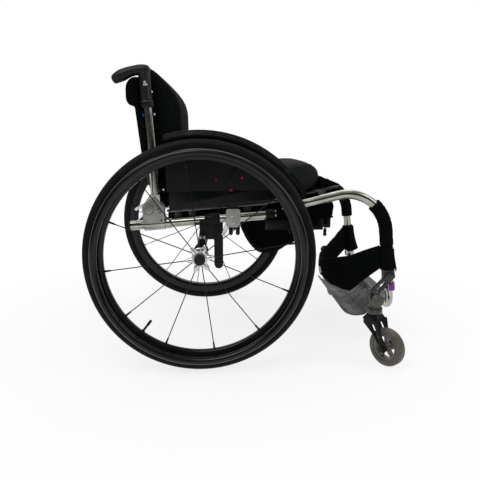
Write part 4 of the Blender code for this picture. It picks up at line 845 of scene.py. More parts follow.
def makeFenders():
    wheelRadius = 0.295
    inner = wheelRadius + fender["clear"]
    y0 = chair["tubeY"] + fender["guardOut"]
    section = [(inner, y0)]
    ridges = ((0.0, 0.0110, 0.0150), (0.0120, 0.0270, 0.0095), (0.0280, 0.0385, 0.0045))
    for start, end, height in ridges:
        section += [(inner + height - 0.0012, y0 + start), (inner + height - 0.0003, y0 + start + 0.0004),
                    (inner + height, y0 + start + 0.0014), (inner + height, y0 + end - 0.0014),
                    (inner + height - 0.0003, y0 + end - 0.0004), (inner + height - 0.0012, y0 + end)]
    section.append((inner, y0 + fender["width"]))
    for side, name in sides:
        points, count = [], len(section)
        for i in range(fender["steps"] + 1):
            turn = math.radians(mixed(fender["from"], fender["to"], i / fender["steps"]))
            points += [spot(r * math.cos(turn), side * y, chair["axleZ"] + r * math.sin(turn))
                       for r, y in section]
        thing = dressed(pieceOf("fender_lip_" + name, points, cappedFaces(fender["steps"], count)), "gloss",
                        "frame", 40, "gloss_black")
        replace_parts(thing, "fender_" + name)
        y = y0 + fender["plate"] + 0.0003
        outline = [(-0.086, 0.455)] + arcPoints((0, chair["axleZ"]), inner + 0.002, math.radians(33),
                                                math.radians(106.3), 72)
        upper = plateShape(outline, side * y, side * (y + fender["plate"]))
        softened(built("guard_upper_" + name, upper, "gloss", "frame", 40, "gloss_black"), 0.0008)
        finishedCad("side_guard_" + name, "gloss", 0.0008)
    out = chair["tubeY"] + fender["guardOut"] + 2 * fender["plate"] + 0.0004
    doubler, slots = [], []
    for side, _ in sides:
        outline = [(0.0330, 0.4590), (0.0330, 0.4805), (0.0360, 0.4826), (0.1800, 0.4868)]
        outline += arcPoints((0, chair["axleZ"]), 0.2950, math.radians(40.5), math.radians(33.9), 8)
        doubler.append(plateShape(outline, side * out, side * (out + 0.0007)))
        ends = arcPoints((0.0085, 0), guard["slotRadius"], -math.pi / 2, math.pi / 2, 6)
        ends += arcPoints((-0.0085, 0), guard["slotRadius"], math.pi / 2, 1.5 * math.pi, 6)
        for x, z in guard["slots"]:
            loop = [(x + a, z + b) for a, b in ends]
            slots.append(tubeShape([spot(a, side * (out + 0.0007), b) for a, b in loop], 0.0005, 6, True))
    softened(built("guard_doublers", joined(*doubler), "gloss", "frame", 40, "gloss_black"), 0.0003)
    built("guard_slot_edges", joined(*slots), "plastic", "frame", 40)
    screws("guard_screws", [(x, out + 0.0008, z) for x, z in guard["screws"]], 0.0042, 0.0030, "magenta",
           "frame")
    x, z = guard["frontScrew"]
    screws("guard_front_screws", [(x, out, z)], 0.0026, 0.0020, "steel", "frame")
    print("side guards made")


receiver = {"x": (0.0666, 0.1037), "face": 0.2303, "slot": (0.2447, 0.2520), "outer": 0.2573, "webTop": 0.402}


def makeReceivers():
    r = receiver
    low, high = r["x"]
    ease = 0.007
    plates, darks, blades = [], [], []
    for side, _ in sides:
        plates.append(plateShape(boxPoints(low + 0.004, 0.366, high - 0.004, 0.4115),
                                 *sorted((side * r["face"], side * r["slot"][0]))))
        plates.append(plateShape(boxPoints(low + 0.002, 0.372, high - 0.002, r["webTop"]),
                                 *sorted((side * (r["face"] + 0.002), side * (r["outer"] - 0.001)))))
        rounds = ((high - ease, 0.411 - ease), (low + ease, 0.411 - ease), (low + ease, 0.363 + ease),
                  (high - ease, 0.363 + ease))
        outline = []
        for quarter, middle in enumerate(rounds):
            outline += arcPoints(middle, ease, quarter * math.pi / 2, (quarter + 1) * math.pi / 2, 8)
        plates.append(plateShape(outline, *sorted((side * r["slot"][1], side * r["outer"]))))
        near, far = sorted((side * (r["slot"][1] + 0.0004), side * (r["outer"] - 0.0004)))
        wide, hookTop, hookFoot = 0.0054, 0.3640, 0.3478
        for x in (0.0790, 0.0970):
            hook = [(x - wide, hookTop), (x - wide, hookFoot)]
            hook += arcPoints((x, hookFoot), wide, math.pi, 2 * math.pi, 10) + [(x + wide, hookTop)]
            darks.append(plateShape(hook, near, far))
        darks.append(plateShape(boxPoints(0.0730, 0.3575, 0.1028, 0.3660), near, far))
        blades.append(plateShape([(0.0545, 0.3450), (0.0580, 0.3405), (0.0610, 0.3400), (0.0690, 0.3520),
                                  (0.0745, 0.3640), (0.0700, 0.3810), (0.0672, 0.3810)], near, far))
    things = softened(built("receiver_plates", joined(*plates), "satin", "frame", 40, "satin_grey"), 0.0010)
    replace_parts(things, "guard_receiver_right", "guard_receiver_left")
    softened(built("receiver_hooks", joined(*darks), "blackMetal", "frame", 40, "black_metal"), 0.0010)
    softened(built("receiver_blades", joined(*blades), "steel", "frame", 40), 0.0008)
    screws("receiver_bolts", [(0.0822, r["outer"], 0.3917), (0.0847, r["outer"], 0.3733)], 0.0022, 0.0014,
           "steel", "frame")
    print("receivers made")


# Brackets, rails and brakes that keep the frame's own shapes

def dressBrackets():
    for _, name in sides:
        finishedCad("axle_bracket_" + name, "blackMetal", 0.0014)
        finishedCad("rear_bracket_" + name, "satin", 0.0012)
        finishedCad("seat_rail_" + name, "armGrey", 0.0008)
        finishedCad("brake_clamp_" + name, "blackMetal", 0.0010)
        finishedCad("brake_lever_" + name, "tyre", 0.0012)
    print("brackets dressed")


fittings = {"bracketSleeve": (-0.1488, -0.0930, 0.0168), "shortSleeve": (-0.0928, -0.0758, 0.0150),
            "brakeBand": (0.199, 0.238), "railEdge": (-0.085, 0.215), "spacerX": (0.0045, 0.0135),
            "spacerZ": (0.3312, 0.3417), "screwOut": 0.2375,
            "screws": ((-0.1085, 0.4085), (-0.1045, 0.4015), (-0.1020, 0.3800))}


def makeFittings():
    # bright clamps, rings, screws and spacers around the tubes
    bright, dark, small, edges = [], [], [], []
    for side, _ in sides:
        y = side * chair["tubeY"]
        for start, end, radius in (fittings["bracketSleeve"], fittings["shortSleeve"]):
            bright.append(rodShape(spot(start, y, seatLine(start)), spot(end, y, seatLine(end)), radius,
                                       None, 40, 0.0010))
        start, end = fittings["railEdge"]
        rail = [spot(x, side * 0.2046, railLine(x) - 0.0030) for x in np.linspace(start, end, 40)]
        edges.append(tubeShape(rail, 0.0012, 8))
        start, end = fittings["brakeBand"]
        span = [spot(*p) for p in tubeRoute(side, math.radians(1)) if start < p.x < end]
        dark.append(tubeShape(span, [0.0133] + [0.0138] * (len(span) - 2) + [0.0133], 32))
        place = facing(side, chair["pivotX"], chair["tubeY"] + 0.0205, chair["pivotZ"])
        ring = [(0.0138, 0.0), (0.0138, 0.0012), (0.0130, 0.0016), (0.0118, 0.0012), (0.0112, 0.0004),
                (0.0112, 0.0)]
        small.append(turnedShape(ring, 40, place))
        foot, top = fittings["spacerZ"]
        for x in fittings["spacerX"]:
            bright.append(rodShape(spot(x - 0.004, side * 0.2440, foot), spot(x - 0.004, side * 0.2440, top),
                                   0.0034, None, 16))
    built("tube_fittings", joined(*bright), "polished", "frame", 40, "polished_aluminium")
    built("rail_edges", joined(*edges), "paleCord", "frame", 60)
    built("brake_bands", joined(*dark), "foam", "frame", 40)
    built("bracket_rings", joined(*small), "satin", "frame", 40, "satin_grey")
    screws("bracket_screws", [(x, fittings["screwOut"], z) for x, z in fittings["screws"]], 0.0022, 0.0012,
           "blackMetal", "frame")
    print("fittings made")


# Casters

caster = {"x": 0.462, "out": 0.0575, "radius": 0.0505, "width": 0.024, "trail": 0.045,
          "heading": math.radians(55), "housingZ": 0.170, "edge": 0.0060, "discBehind": 0.0245,
          "discZ": 0.1880}


def swivelPlace(side):
    stem = spot(caster["x"], side * (chair["tubeY"] + caster["out"]), 0)
    return Matrix.Translation(stem) @ Matrix.Rotation(side * caster["heading"], 4, "Z")


def makeCasters():
    for side, name in sides:
        swivel = swivelPlace(side)
        wheel = swivel @ Matrix.Translation((caster["trail"], 0,
                                             caster["radius"])) @ Matrix.Rotation(math.pi / 2, 4, "X")
        r, half = caster["radius"], caster["width"] / 2
        inner = r - 0.0142
        edge = caster["edge"]
        crown = [(r - edge + edge * math.cos(t), (half - edge) + edge * math.sin(t))
                 for t in np.radians(np.linspace(80, 0, 7))]
        profile = [(inner, half - 0.0020), (inner + 0.003, half - 0.0004), (r - 0.006, half - 0.0001),
                   *crown, *[(a, -z) for a, z in reversed(crown)], (r - 0.006, 0.0001 - half),
                   (inner + 0.003, 0.0004 - half), (inner, 0.0020 - half)]
        thing = built("caster_tread_" + name, turnedShape(profile, 96, wheel), "casterTyre",
                      "caster_" + name, 50, "caster_rubber")
        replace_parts(thing, "caster_tyre_" + name)
        finishedCad("caster_hub_" + name, "casterHub", 0.0008)
        bosses = []
        for face in (-1, 1):
            ring = [(0.0044, 0.0100), (0.0100, 0.0100), (0.0106, 0.0106), (0.0106, 0.0126),
                    (0.0098, 0.0130), (0.0044, 0.0130)]
            bosses.append(turnedShape([(r, face * z) for r, z in ring], 32, wheel))
        built("caster_boss_" + name, joined(*bosses), "magenta", "caster_" + name, 40, "magenta_anodised")
        finishedCad("caster_fork_" + name, "blackMetal", 0.0014)
        finishedCad("caster_arm_" + name, "armGrey", 0.0012)
        finishedCad("caster_housing_" + name, "armGrey", 0.0010)
    print("casters made")


def makeCasterFittings():
    discs, clips = [], []
    for side, _ in sides:
        out = chair["tubeY"] + caster["out"]
        place = facing(side, caster["x"] + 0.0005, out + 0.0185, caster["housingZ"])
        cap = [(0.0, 0.0022), (0.0040, 0.0022), (0.0046, 0.0030), (0.0105, 0.0030), (0.0112, 0.0022),
               (0.0160, 0.0018), (0.0168, 0.0010), (0.0168, 0.0003), (0.0, 0.0003)]
        discs.append(turnedShape(cap, 40, place, False))
        discX, discZ = caster["x"] - caster["discBehind"], caster["discZ"]
        place = facing(side, discX, out + 0.0010, discZ)
        discs.append(turnedShape([(0.0, 0.0040), (0.0120, 0.0040), (0.0136, 0.0026), (0.0136, -0.0040),
                                  (0.0, -0.0040)], 36, place, False))
        discs.append(rodShape(spot(discX, side * out, discZ), spot(caster["x"], side * out, 0.1600), 0.0062))
        cup = [(0.0150, 0.1316), (0.0166, 0.1322), (0.0172, 0.1336), (0.0172, 0.1362), (0.0150, 0.1366)]
        stem = Matrix.Translation(spot(caster["x"], side * out, 0))
        discs.append(turnedShape(cup, 40, stem))
        clip = [(0.5110, 0.1835), (0.5140, 0.1805), (0.5245, 0.1800), (0.5275, 0.1825), (0.5268, 0.1960),
                (0.5240, 0.1995), (0.5130, 0.2000), (0.5102, 0.1975)]
        clips.append(plateShape(clip, *sorted((side * 0.2275, side * 0.2352))))
    built("caster_discs", joined(*discs), "tray", "frame", 40, "satin_grey")
    softened(built("leg_clips", joined(*clips), "violet", "frame", 40), 0.0014)
    print("caster fittings made")


# Soft goods

def grownSkin(name, points, faces, thick, material, body, slot=None):
    # a sheet given its thickness on both sides, with soft edges
    thing = pieceOf(name, points, faces)
    skin = thing.modifiers.new("skin", "SOLIDIFY")
    skin.thickness = thick
    skin.offset = 0
    soft = thing.modifiers.new("soft", "SUBSURF")
    soft.levels = 1
    soft.render_levels = 1
    return dressed(thing, material, body, 60, slot)


def netShape(columns, rows, place):
    # a net of points from a function of two shares from 0 to 1
    points = [place(i / columns, k / rows) for i in range(columns + 1) for k in range(rows + 1)]
    step = rows + 1
    faces = [(i * step + k, (i + 1) * step + k, (i + 1) * step + k + 1, i * step + k + 1)
             for i in range(columns) for k in range(rows)]
    return points, faces


def caged(name, place, cuts, levels=2):
    # a soft closed form: a cube cage whose points the function puts, then subdivided
    shape = bmesh.new()
    bmesh.ops.create_cube(shape, size=2)
    bmesh.ops.subdivide_edges(shape, edges=shape.edges, cuts=cuts, use_grid_fill=True)
    for point in shape.verts:
        point.co = place(*point.co)
    bmesh.ops.recalc_face_normals(shape, faces=shape.faces)
    mesh = bpy.data.meshes.new(name)
    shape.to_mesh(mesh)
    shape.free()
    thing = bpy.data.objects.new(name, mesh)
    bpy.context.scene.collection.objects.link(thing)
    return finer(thing, levels)


def baked(thing):
    # the piece's modifiers applied to its mesh
    bpy.context.view_layer.update()
    graph = bpy.context.evaluated_depsgraph_get()
    mesh = bpy.data.meshes.new_from_object(thing.evaluated_get(graph))
    thing.modifiers.clear()
    thing.data = mesh
    return thing


def finer(thing, levels=1):
    soft = thing.modifiers.new("soft", "SUBSURF")
    soft.levels = levels
    soft.render_levels = levels
    return baked(thing)


def pointsOf(mesh):
    values = np.empty(len(mesh.vertices) * 3)
    mesh.vertices.foreach_get("co", values)
    return values.reshape(-1, 3)


filling = {"quality": 4, "mass": 0.2, "tension_stiffness": 12, "compression_stiffness": 12,
           "shear_stiffness": 6, "bending_stiffness": 0.4, "use_pressure": True, "uniform_pressure_force": 4}


def swollen(thing, voxel, cap, rest):
    even = thing.modifiers.new("even", "REMESH")
    even.mode = "VOXEL"
    even.voxel_size = voxel
    baked(thing)
    start = pointsOf(thing.data)
    cloth = thing.modifiers.new("fill", "CLOTH")
    for key, value in filling.items():
        setattr(cloth.settings, key, value)
    cloth.settings.effector_weights.gravity = 0
    cloth.collision_settings.use_collision = False
    for step in range(1, 21):
        bpy.context.scene.frame_set(step)
    graph = bpy.context.evaluated_depsgraph_get()
    end = pointsOf(thing.evaluated_get(graph).data)
    thing.modifiers.remove(cloth)
    bpy.context.scene.frame_set(1)
    move = end - start
    far = np.linalg.norm(move, axis=1, keepdims=True)
    placed = rest(start + move * np.minimum(1, cap / np.maximum(far, 1e-9)))
    thing.data.vertices.foreach_set("co", placed.ravel())
    print("filled", thing.name, "moved up to", round(float(far.max()) * 1000, 1), "mm")
    return finer(thing, 1)


def onSurface(thing, line, lift=0.0):
    # the line's points laid on the piece, lifted off its skin
    mesh = thing.data
    tree = BVHTree.FromPolygons([v.co for v in mesh.vertices], [p.vertices for p in mesh.polygons])
    laid = [tree.find_nearest(p) for p in line]
    return [place + normal * lift for place, normal, _, _ in laid]


def drawnIn(thing, lines, width, depth):
    # the skin pulled in along each line, as a seam does
    marks = [p for line in lines for p in line]
    tree = KDTree(len(marks))
    for i, p in enumerate(marks):
        tree.insert(p, i)
    tree.balance()
    moves = []
    for vertex in thing.data.vertices:
        far = tree.find(vertex.co)[2]
        moves.append(vertex.normal * depth * math.exp(-(far / width) ** 2) if far < 3 * width else None)
    for vertex, move in zip(thing.data.vertices, moves):
        if move is not None:
            vertex.co = vertex.co - move
    return thing


def spaced(line, gap, loop=False):
    # points at an even distance along the line
    line = [Vector(p) for p in line] + ([Vector(line[0])] if loop else [])
    done, out = 0.0, [line[0]]
    for a, b in zip(line, line[1:]):
        length = (b - a).length
        while length and done + length >= gap:
            a = a + (b - a) * ((gap - done) / length)
            out.append(a)
            length = (b - a).length
            done = 0.0
        done += length
    return out


def stitchShape(line, gap=0.0042, length=0.0026, radius=0.00045):
    # a row of single stitches along the line
    shapes = []
    row = spaced(line, gap)
    for a, b in zip(row, row[1:]):
        way = (b - a).normalized()
        shapes.append(tubeShape([a, a + way * length * 0.5, a + way * length],
                                [radius * 0.6, radius, radius * 0.6], 6))
    return joined(*shapes)


def cordedSeam(name, pad, lines, body, material, radius):
    # piping laid along the closed seam lines of a pad
    parts = []
    for line in lines:
        laid = onSurface(pad, spaced(line, 0.004, True)[:-1], radius * 0.3)
        parts.append(tubeShape(laid, radius, 8, True))
    return built(name, joined(*parts), material, body, 60)


seatCushion = {"half": 0.1935, "rearX": -0.0835, "frontX": 0.3225, "rearTop": 0.5010, "frontTop": 0.5240,
               "floor": 0.0030, "nose": 0.032, "voxel": 0.005, "cap": 0.003,
               "restFloor": 0.0029, "restHalf": 0.1948, "restFront": 0.3222,
               "seams": ((0.72, -0.008), (-0.74, 0.008))}


def cushionCage(u, v, w):
    # the nose rounds over from the top to the rail, the sides pull in between the corners
    c = seatCushion
    turn = w * math.radians(78)
    front = c["frontX"] - c["nose"] * (1 - math.cos(turn))
    rear = c["rearX"] + 0.4 * c["nose"] * (1 - math.cos(turn))
    along = (u + 1) / 2
    x = mixed(rear, front, along)
    share = mixed(w, math.sin(turn), max(along ** 7, (1 - along) ** 9))
    pull = 1 - 0.020 * (1 - u * u) * (1 - 0.3 * abs(w))
    across = v * c["half"] * pull * (1 - 0.035 * abs(w) ** 4)
    bottom = railLine(x) + c["floor"]
    top = mixed(c["rearTop"], c["frontTop"], min(1, along * 1.1)) + 0.0015 * (1 - v * v) - 0.0030 * v ** 4
    return spot(x, across, mixed(bottom, top, (share + 1) / 2))


def aroundCage(cage, level, count=160, axis=2):
    # a loop around the cage at one level of w, or of u when the axis is 0
    loop = []
    for i in range(count):
        turn = 2 * math.pi * i / count
        a, b = math.cos(turn), math.sin(turn)
        reach = 0.86 * max(abs(a), abs(b)) + 0.14
        a, b = a / reach, b / reach
        loop.append(cage(a, b, level) if axis == 2 else cage(level, a, b))
    return loop


def makeSeatCushion():
    c = seatCushion

    def rest(points):
        floor = np.array([railLine(x - chair["axleX"]) for x in points[:, 0]]) + c["restFloor"]
        points[:, 2] = np.maximum(points[:, 2], floor)
        points[:, 1] = np.clip(points[:, 1], -c["restHalf"], c["restHalf"])
        points[:, 0] = np.minimum(points[:, 0], chair["axleX"] + c["restFront"])
        return points

    thing = swollen(caged("seat_pad", cushionCage, 12, 2), c["voxel"], c["cap"], rest)
    lines = [onSurface(thing, aroundCage(cushionCage, level)) for level, _ in c["seams"]]
    corners = [[cushionCage(0.965, v, w / 10) for w in range(-7, 8)] for v in (-0.95, 0.95)]
    drawnIn(thing, lines + [onSurface(thing, line) for line in corners], 0.006, 0.0016)
    dressed(thing, "cushion", "frame", 60, "cushion_cloth")
    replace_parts(thing, "seat_cushion")
    piping = cordedSeam("seat_pad_piping", thing, lines, "frame", "cushion", 0.0013)
    rows = [onSurface(thing, [p + Vector((0, 0, lift)) for p in aroundCage(cushionCage, level)], 0.0003)
            for level, lift in c["seams"]]
    stitches = built("seat_pad_stitches", joined(*[stitchShape(row) for row in rows]), "thread", "frame",
                     60)
    for piece in (thing, piping, stitches):
        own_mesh(piece)
    print("seat cushion made")


roll = {"half": 0.186, "x": (-0.1215, -0.0860), "topZ": 0.5110}


def rollCage(u, v, w):
    # a soft upright roll that closes the gap between the cushion and the back
    low, high = roll["x"]
    z = mixed(railLine(-0.09) + 0.0035, roll["topZ"], (w + 1) / 2)
    slim = 1 - 0.25 * abs(w) ** 4
    bend = 0.003 * math.cos(2.2 * v)
    x = mixed(low, high, (u * slim + 1) / 2) - 0.35 * (z - 0.45) * (high - low) + bend * (1 - abs(w))
    return spot(min(x, high + 0.0010), v * roll["half"] * (1 - 0.03 * abs(w) ** 3), z)


def makeRoll():
    thing = caged("seat_rear_roll", rollCage, 8, 2)
    line = onSurface(thing, aroundCage(rollCage, 0.55, axis=0))
    drawnIn(thing, [line], 0.004, 0.0012)
    dressed(thing, "cloth", "frame", 60)
    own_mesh(thing)
    print("rear roll made")


backProfile = ((0.535, 0.068), (0.545, 0.088), (0.611, 0.096), (0.6665, 0.099), (0.694, 0.095),
               (0.715, 0.080), (0.7436, 0.054), (0.766, 0.026))


backPad = {"half": 0.1885, "restHalf": 0.1898, "restZ": (0.5352, 0.7675), "voxel": 0.005, "cap": 0.002,
           "seams": ((0.72, -0.008), (-0.62, 0.008))}


def backDepth(z):
    return interpolated(z, backProfile)


def backCage(u, v, w):
    low, high = backProfile[0][0] - 0.001, backProfile[-1][0] + 0.0035
    z = mixed(low, high, (w + 1) / 2)
    rear = postLine(z) - chair["tubeRadius"] + 0.0002
    pull = 1 - 0.03 * (1 - w * w)
    edge = 1 - 0.05 * max(0, u) ** 3
    depth = backDepth(z) * (1 - 0.08 * v * v) + 0.0005
    return spot(rear + depth * (u + 1) / 2, v * backPad["half"] * pull * edge, z)


def makeBackCushion():
    def rest(points):
        rear = np.array([postLine(z) for z in points[:, 2]]) + chair["axleX"] - chair["tubeRadius"] + 0.0004
        points[:, 0] = np.maximum(points[:, 0], rear)
        points[:, 1] = np.clip(points[:, 1], -backPad["restHalf"], backPad["restHalf"])
        points[:, 2] = np.clip(points[:, 2], *backPad["restZ"])
        return points

    thing = swollen(caged("back_pad", backCage, 10, 2), backPad["voxel"], backPad["cap"], rest)
    lines = [onSurface(thing, aroundCage(backCage, level, axis=0)) for level, _ in backPad["seams"]]
    drawnIn(thing, lines, 0.006, 0.0018)
    dressed(thing, "backCloth", "back", 60, "cushion_cloth")
    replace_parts(thing, "back_cushion")
    piping = cordedSeam("back_pad_piping", thing, lines, "back", "webbing", 0.0013)
    rows = [onSurface(thing, [p + Vector((shift, 0, 0)) for p in aroundCage(backCage, level, axis=0)],
                      0.0003)
            for level, shift in backPad["seams"]]
    stitches = built("back_pad_stitches", joined(*[stitchShape(row) for row in rows]), "thread", "back", 60)
    for piece in (thing, piping, stitches):
        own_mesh(piece)
    print("back cushion made")


backPanel = {"half": 0.2315, "foot": 0.5005, "seamHalf": 0.228, "seams": (0.508, 0.600, 0.662),
             "rollSeams": ((-0.1800, 0.690), (-0.1815, 0.716)), "bands": (0.535, 0.575, 0.615),
             "roll": ((-0.1480, 0.7395), (-0.1590, 0.7400), (-0.1715, 0.7345), (-0.1795, 0.7235),
                      (-0.1818, 0.7120),
                      (-0.1822, 0.6985), (-0.1815, 0.6850), (-0.1765, 0.6750), (-0.1695, 0.6712),
                      (-0.1640, 0.6720))}


def panelSection(across):
    # outline of the back cloth at one place across: sheet behind the posts, rolled flap at the top
    sag = 0.004 * (1 - across * across)
    ripple = 0.0012 * math.sin(9 * across)
    thick = 0.0050
    front = [(postLine(z) - 0.0131 - sag * (z < 0.655) - (0.0052 if z > 0.6615 else 0), z)
             for z in np.linspace(backPanel["foot"], 0.7200, 26)]
    roll = [(x + 0.6 * ripple, z + ripple * 0.4) for x, z in backPanel["roll"]]
    puffed = [(p.x, p.y) for p in smoothRoute([(x, z, 0) for x, z in roll], 26)]
    rear = [(postLine(z) - 0.0173 - thick - sag - ripple - 0.0075 * (z - 0.5) / 0.164, z)
            for z in np.linspace(0.6640, backPanel["foot"], 18)]
    return front + puffed + rear


def makeBackPanel():
    columns, points = 56, []
    for i in range(columns + 1):
        across = -1 + 2 * i / columns
        rounding = 0.0035 * max(0.0, (abs(across) - 0.965) / 0.035) ** 2
        section = panelSection(across)
        middle = (sum(p[0] for p in section) / len(section), sum(p[1] for p in section) / len(section))
        points += [spot(x + (middle[0] - x) * rounding * 6, across * backPanel["half"],
                        z + (middle[1] - z) * rounding) for x, z in section]
    count = len(section)
    thing = softened(pieceOf("back_sheet", points, cappedFaces(columns, count)), 0.0012, 2, 50)
    baked(thing)
    dressed(thing, "cloth", "back", 50, "black_cloth")
    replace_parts(thing, "back_panel")
    across = np.linspace(-backPanel["seamHalf"], backPanel["seamHalf"], 90)
    lines = [[spot(postLine(z) - 0.030, y, z) for y in across] for z in backPanel["seams"]]
    lines += [[spot(postLine(z) - 0.030, y, z) for z in np.linspace(0.508, 0.660, 40)]
              for y in (-0.226, 0.226)]
    lines += [[spot(x - 0.01, y, z) for y in across] for x, z in backPanel["rollSeams"]]
    rows = [stitchShape(onSurface(thing, line, 0.0003)) for line in lines]
    built("back_sheet_stitches", joined(*rows), "thread", "back", 60)
    straps = []
    for z in backPanel["bands"]:
        for side, _ in sides:
            band = [spot(postLine(z) - 0.0245 + 0.0005 * k, side * (0.150 + 0.0090 * k), z) for k in range(9)]
            straps.append(netShape(8, 4, lambda a, b, band=band:
                                   band[min(8, round(a * 8))] + Vector((-0.0016, 0, 0.026 * (b - 0.5)))))
    bands = grownSkin("back_tension_bands", *joined(*straps), 0.0022, "webbing", "back")
    print("back panel made")


apron = {"half": 0.184, "from": 0.3265, "to": 0.3895,
         "top": ((0.3245, 0.4893), (0.3310, 0.4880), (0.3380, 0.4840), (0.3450, 0.4836), (0.3510, 0.4806),
                 (0.3570, 0.4800),
                 (0.3640, 0.4740), (0.3700, 0.4735), (0.3760, 0.4675), (0.3830, 0.4655), (0.3892, 0.4590))}


def makeApron():
    # bunched cloth in front of the cushion: ridges run across it, broken up by smaller creases
    def place(u, v, w):
        along = (u + 1) / 2
        x = mixed(apron["from"], apron["to"], along)
        bottom = railLine(min(x, 0.374)) + 0.0026 - max(0, x - 0.375) * 1.0
        shift = 0.0040 * waver(0.7, v * 5, 3.1) + 0.0015 * math.sin(7 * v)
        top = interpolated(x + shift, apron["top"]) - 0.0022
        ridges = 0.0024 * math.sin(x * 520 + 0.9 * math.sin(5 * v)) * (0.6 + 0.6 * waver(x * 30,
            v * 4, 7.7))
        rumple = 0.0022 * waver(x * 90, v * 9, 0.3) + 0.0016 * waver(x * 190, v * 26, 4.3) - 0.0015
        thick = max(top + ridges + rumple - bottom, 0.0035)
        wander = 0.0022 * waver(x * 60, v * 14, w * 2)
        inward = 1 - 0.02 * along + 0.010 * waver(x * 120, 0.5, w * 3)
        return spot(x + wander, v * apron["half"] * inward, bottom + thick * (w + 1) / 2)

    thing = caged("apron_cloth", place, 30, 1)
    dressed(thing, "cloth", "frame", 80, "black_cloth")
    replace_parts(thing, "seat_apron")
    edge = [place(0.86, v, 1) for v in np.linspace(-0.97, 0.97, 90)]
    built("apron_hem_stitches", stitchShape(onSurface(thing, edge, 0.0003)), "thread", "frame", 60)
    strips, tabs = [], []
    for side, _ in sides:
        line = [spot(mixed(0.2951, 0.3661, k / 10), side * 0.1915, mixed(0.4440, 0.4640, k / 10))
                for k in range(11)]
        strips.append(netShape(10, 3, lambda a, b, line=line:
                               line[round(a * 10)] + Vector((0, 0, 0.0055 * (b - 0.5)))))
        tabs.append(netShape(3, 3, lambda a, b, side=side:
                             spot(0.3265 + 0.0075 * a, side * (0.1935 + 0.0006), 0.4535 + 0.0048 * b)))
    binding = grownSkin("apron_edge_strips", *joined(*strips), 0.0014, "greyBinding", "frame")
    labels = grownSkin("apron_edge_tabs", *joined(*tabs), 0.0010, "redLabel", "frame")
    screws("apron_screws", [(0.3417, 0.1930, 0.4565)], 0.0024, 0.0018, "steel", "frame")
    print("apron made")
    return [binding, labels]


sling = {"from": -0.0885, "to": 0.3735, "half": 0.1880, "thick": 0.0018, "skirt": 0.024, "columns": 56}


def makeSling():
    # one cloth over the seat whose edges hang down inside the rails
    whole = 2 * (sling["half"] + sling["skirt"])

    def place(across, along):
        x = mixed(sling["from"], sling["to"], along)
        y = (across - 0.5) * whole
        over = max(0.0, abs(y) - sling["half"])
        v = min(1.0, abs(y) / sling["half"])
        sag = 0.0006 * (1 - v * v)
        wave = 0.0010 * math.sin(38 * along) * over / sling["skirt"]
        return spot(x, math.copysign(min(abs(y), sling["half"]) - wave - 0.0010 * (over > 0), y),
                    railLine(x) - 0.0004 - sag - over)

    thing = grownSkin("seat_cloth", *netShape(sling["columns"], 60, place), sling["thick"], "webbing",
                      "frame", "black_cloth")
    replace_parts(thing, "seat_sling")
    rows = []
    for x in (-0.080, -0.074, 0.362, 0.368):
        rows.append(stitchShape([spot(x, y, railLine(x) + 0.0008) for y in np.linspace(-0.184, 0.184, 80)]))
    for side in (-1, 1):
        for off in (0.182, 0.177):
            rows.append(stitchShape([spot(x, side * off, railLine(x) + 0.0008)
                                     for x in np.linspace(-0.085, 0.370, 110)]))
    stitches = built("seat_cloth_stitches", joined(*rows), "thread", "frame", 60)
    length = sum((place(0.5, (k + 1) / 60) - place(0.5, k / 60)).length for k in range(60))
    print("sling made")


pouch = {"half": 0.1035,
         "line": ((0.1105, 0.338), (0.1310, 0.291), (0.1565, 0.259), (0.1850, 0.2475), (0.2150, 0.2520),
                                  (0.2450, 0.2685), (0.2750, 0.2870), (0.3050, 0.3095), (0.3300, 0.3295),
                                  (0.3560, 0.3440), (0.3745, 0.3590)),
         "columns": 44, "mouthZ": 0.3655}


def pouchRing(v):
    # outline of the bag at one place across, from the rear of its mouth down and round to the front
    ends = abs(v) ** 5
    route = [(0.1100, railLine(0.1100) - 0.0034), (0.1102, 0.372), *pouch["line"], (0.3785, 0.3700),
             (0.3800, 0.3830), (0.3822, 0.3960), (0.3770, 0.4150), (0.3690, railLine(0.3690) - 0.0034)]
    ring = []
    for p in smoothRoute([(x, z, 0) for x, z in route], 74):
        low = max(0.0, (0.372 - p.y) / 0.12)
        gather = 0.0022 * math.sin(46 * v) * math.exp(-((p.y - pouch["mouthZ"]) / 0.020) ** 2) * (p.x > 0.30)
        fold = 0.0045 * waver(p.x * 24, v * 3.2, p.y * 24) * min(1, low * 2.5)
        deep = 0.0030 * abs(math.sin(17 * p.x * 6 + 2.2 * v)) * min(1, low * 2) * (abs(v) > 0.3)
        x = p.x + (0.235 - p.x) * 0.10 * ends * low + gather
        z = p.y + (0.372 - p.y) * 0.16 * ends * (low > 0) + fold * 0.5 + deep * 0.6
        ring.append((x, z))
    top = [(x, railLine(x) - 0.0034) for x in np.linspace(0.352, 0.126, 12)]
    return ring + top


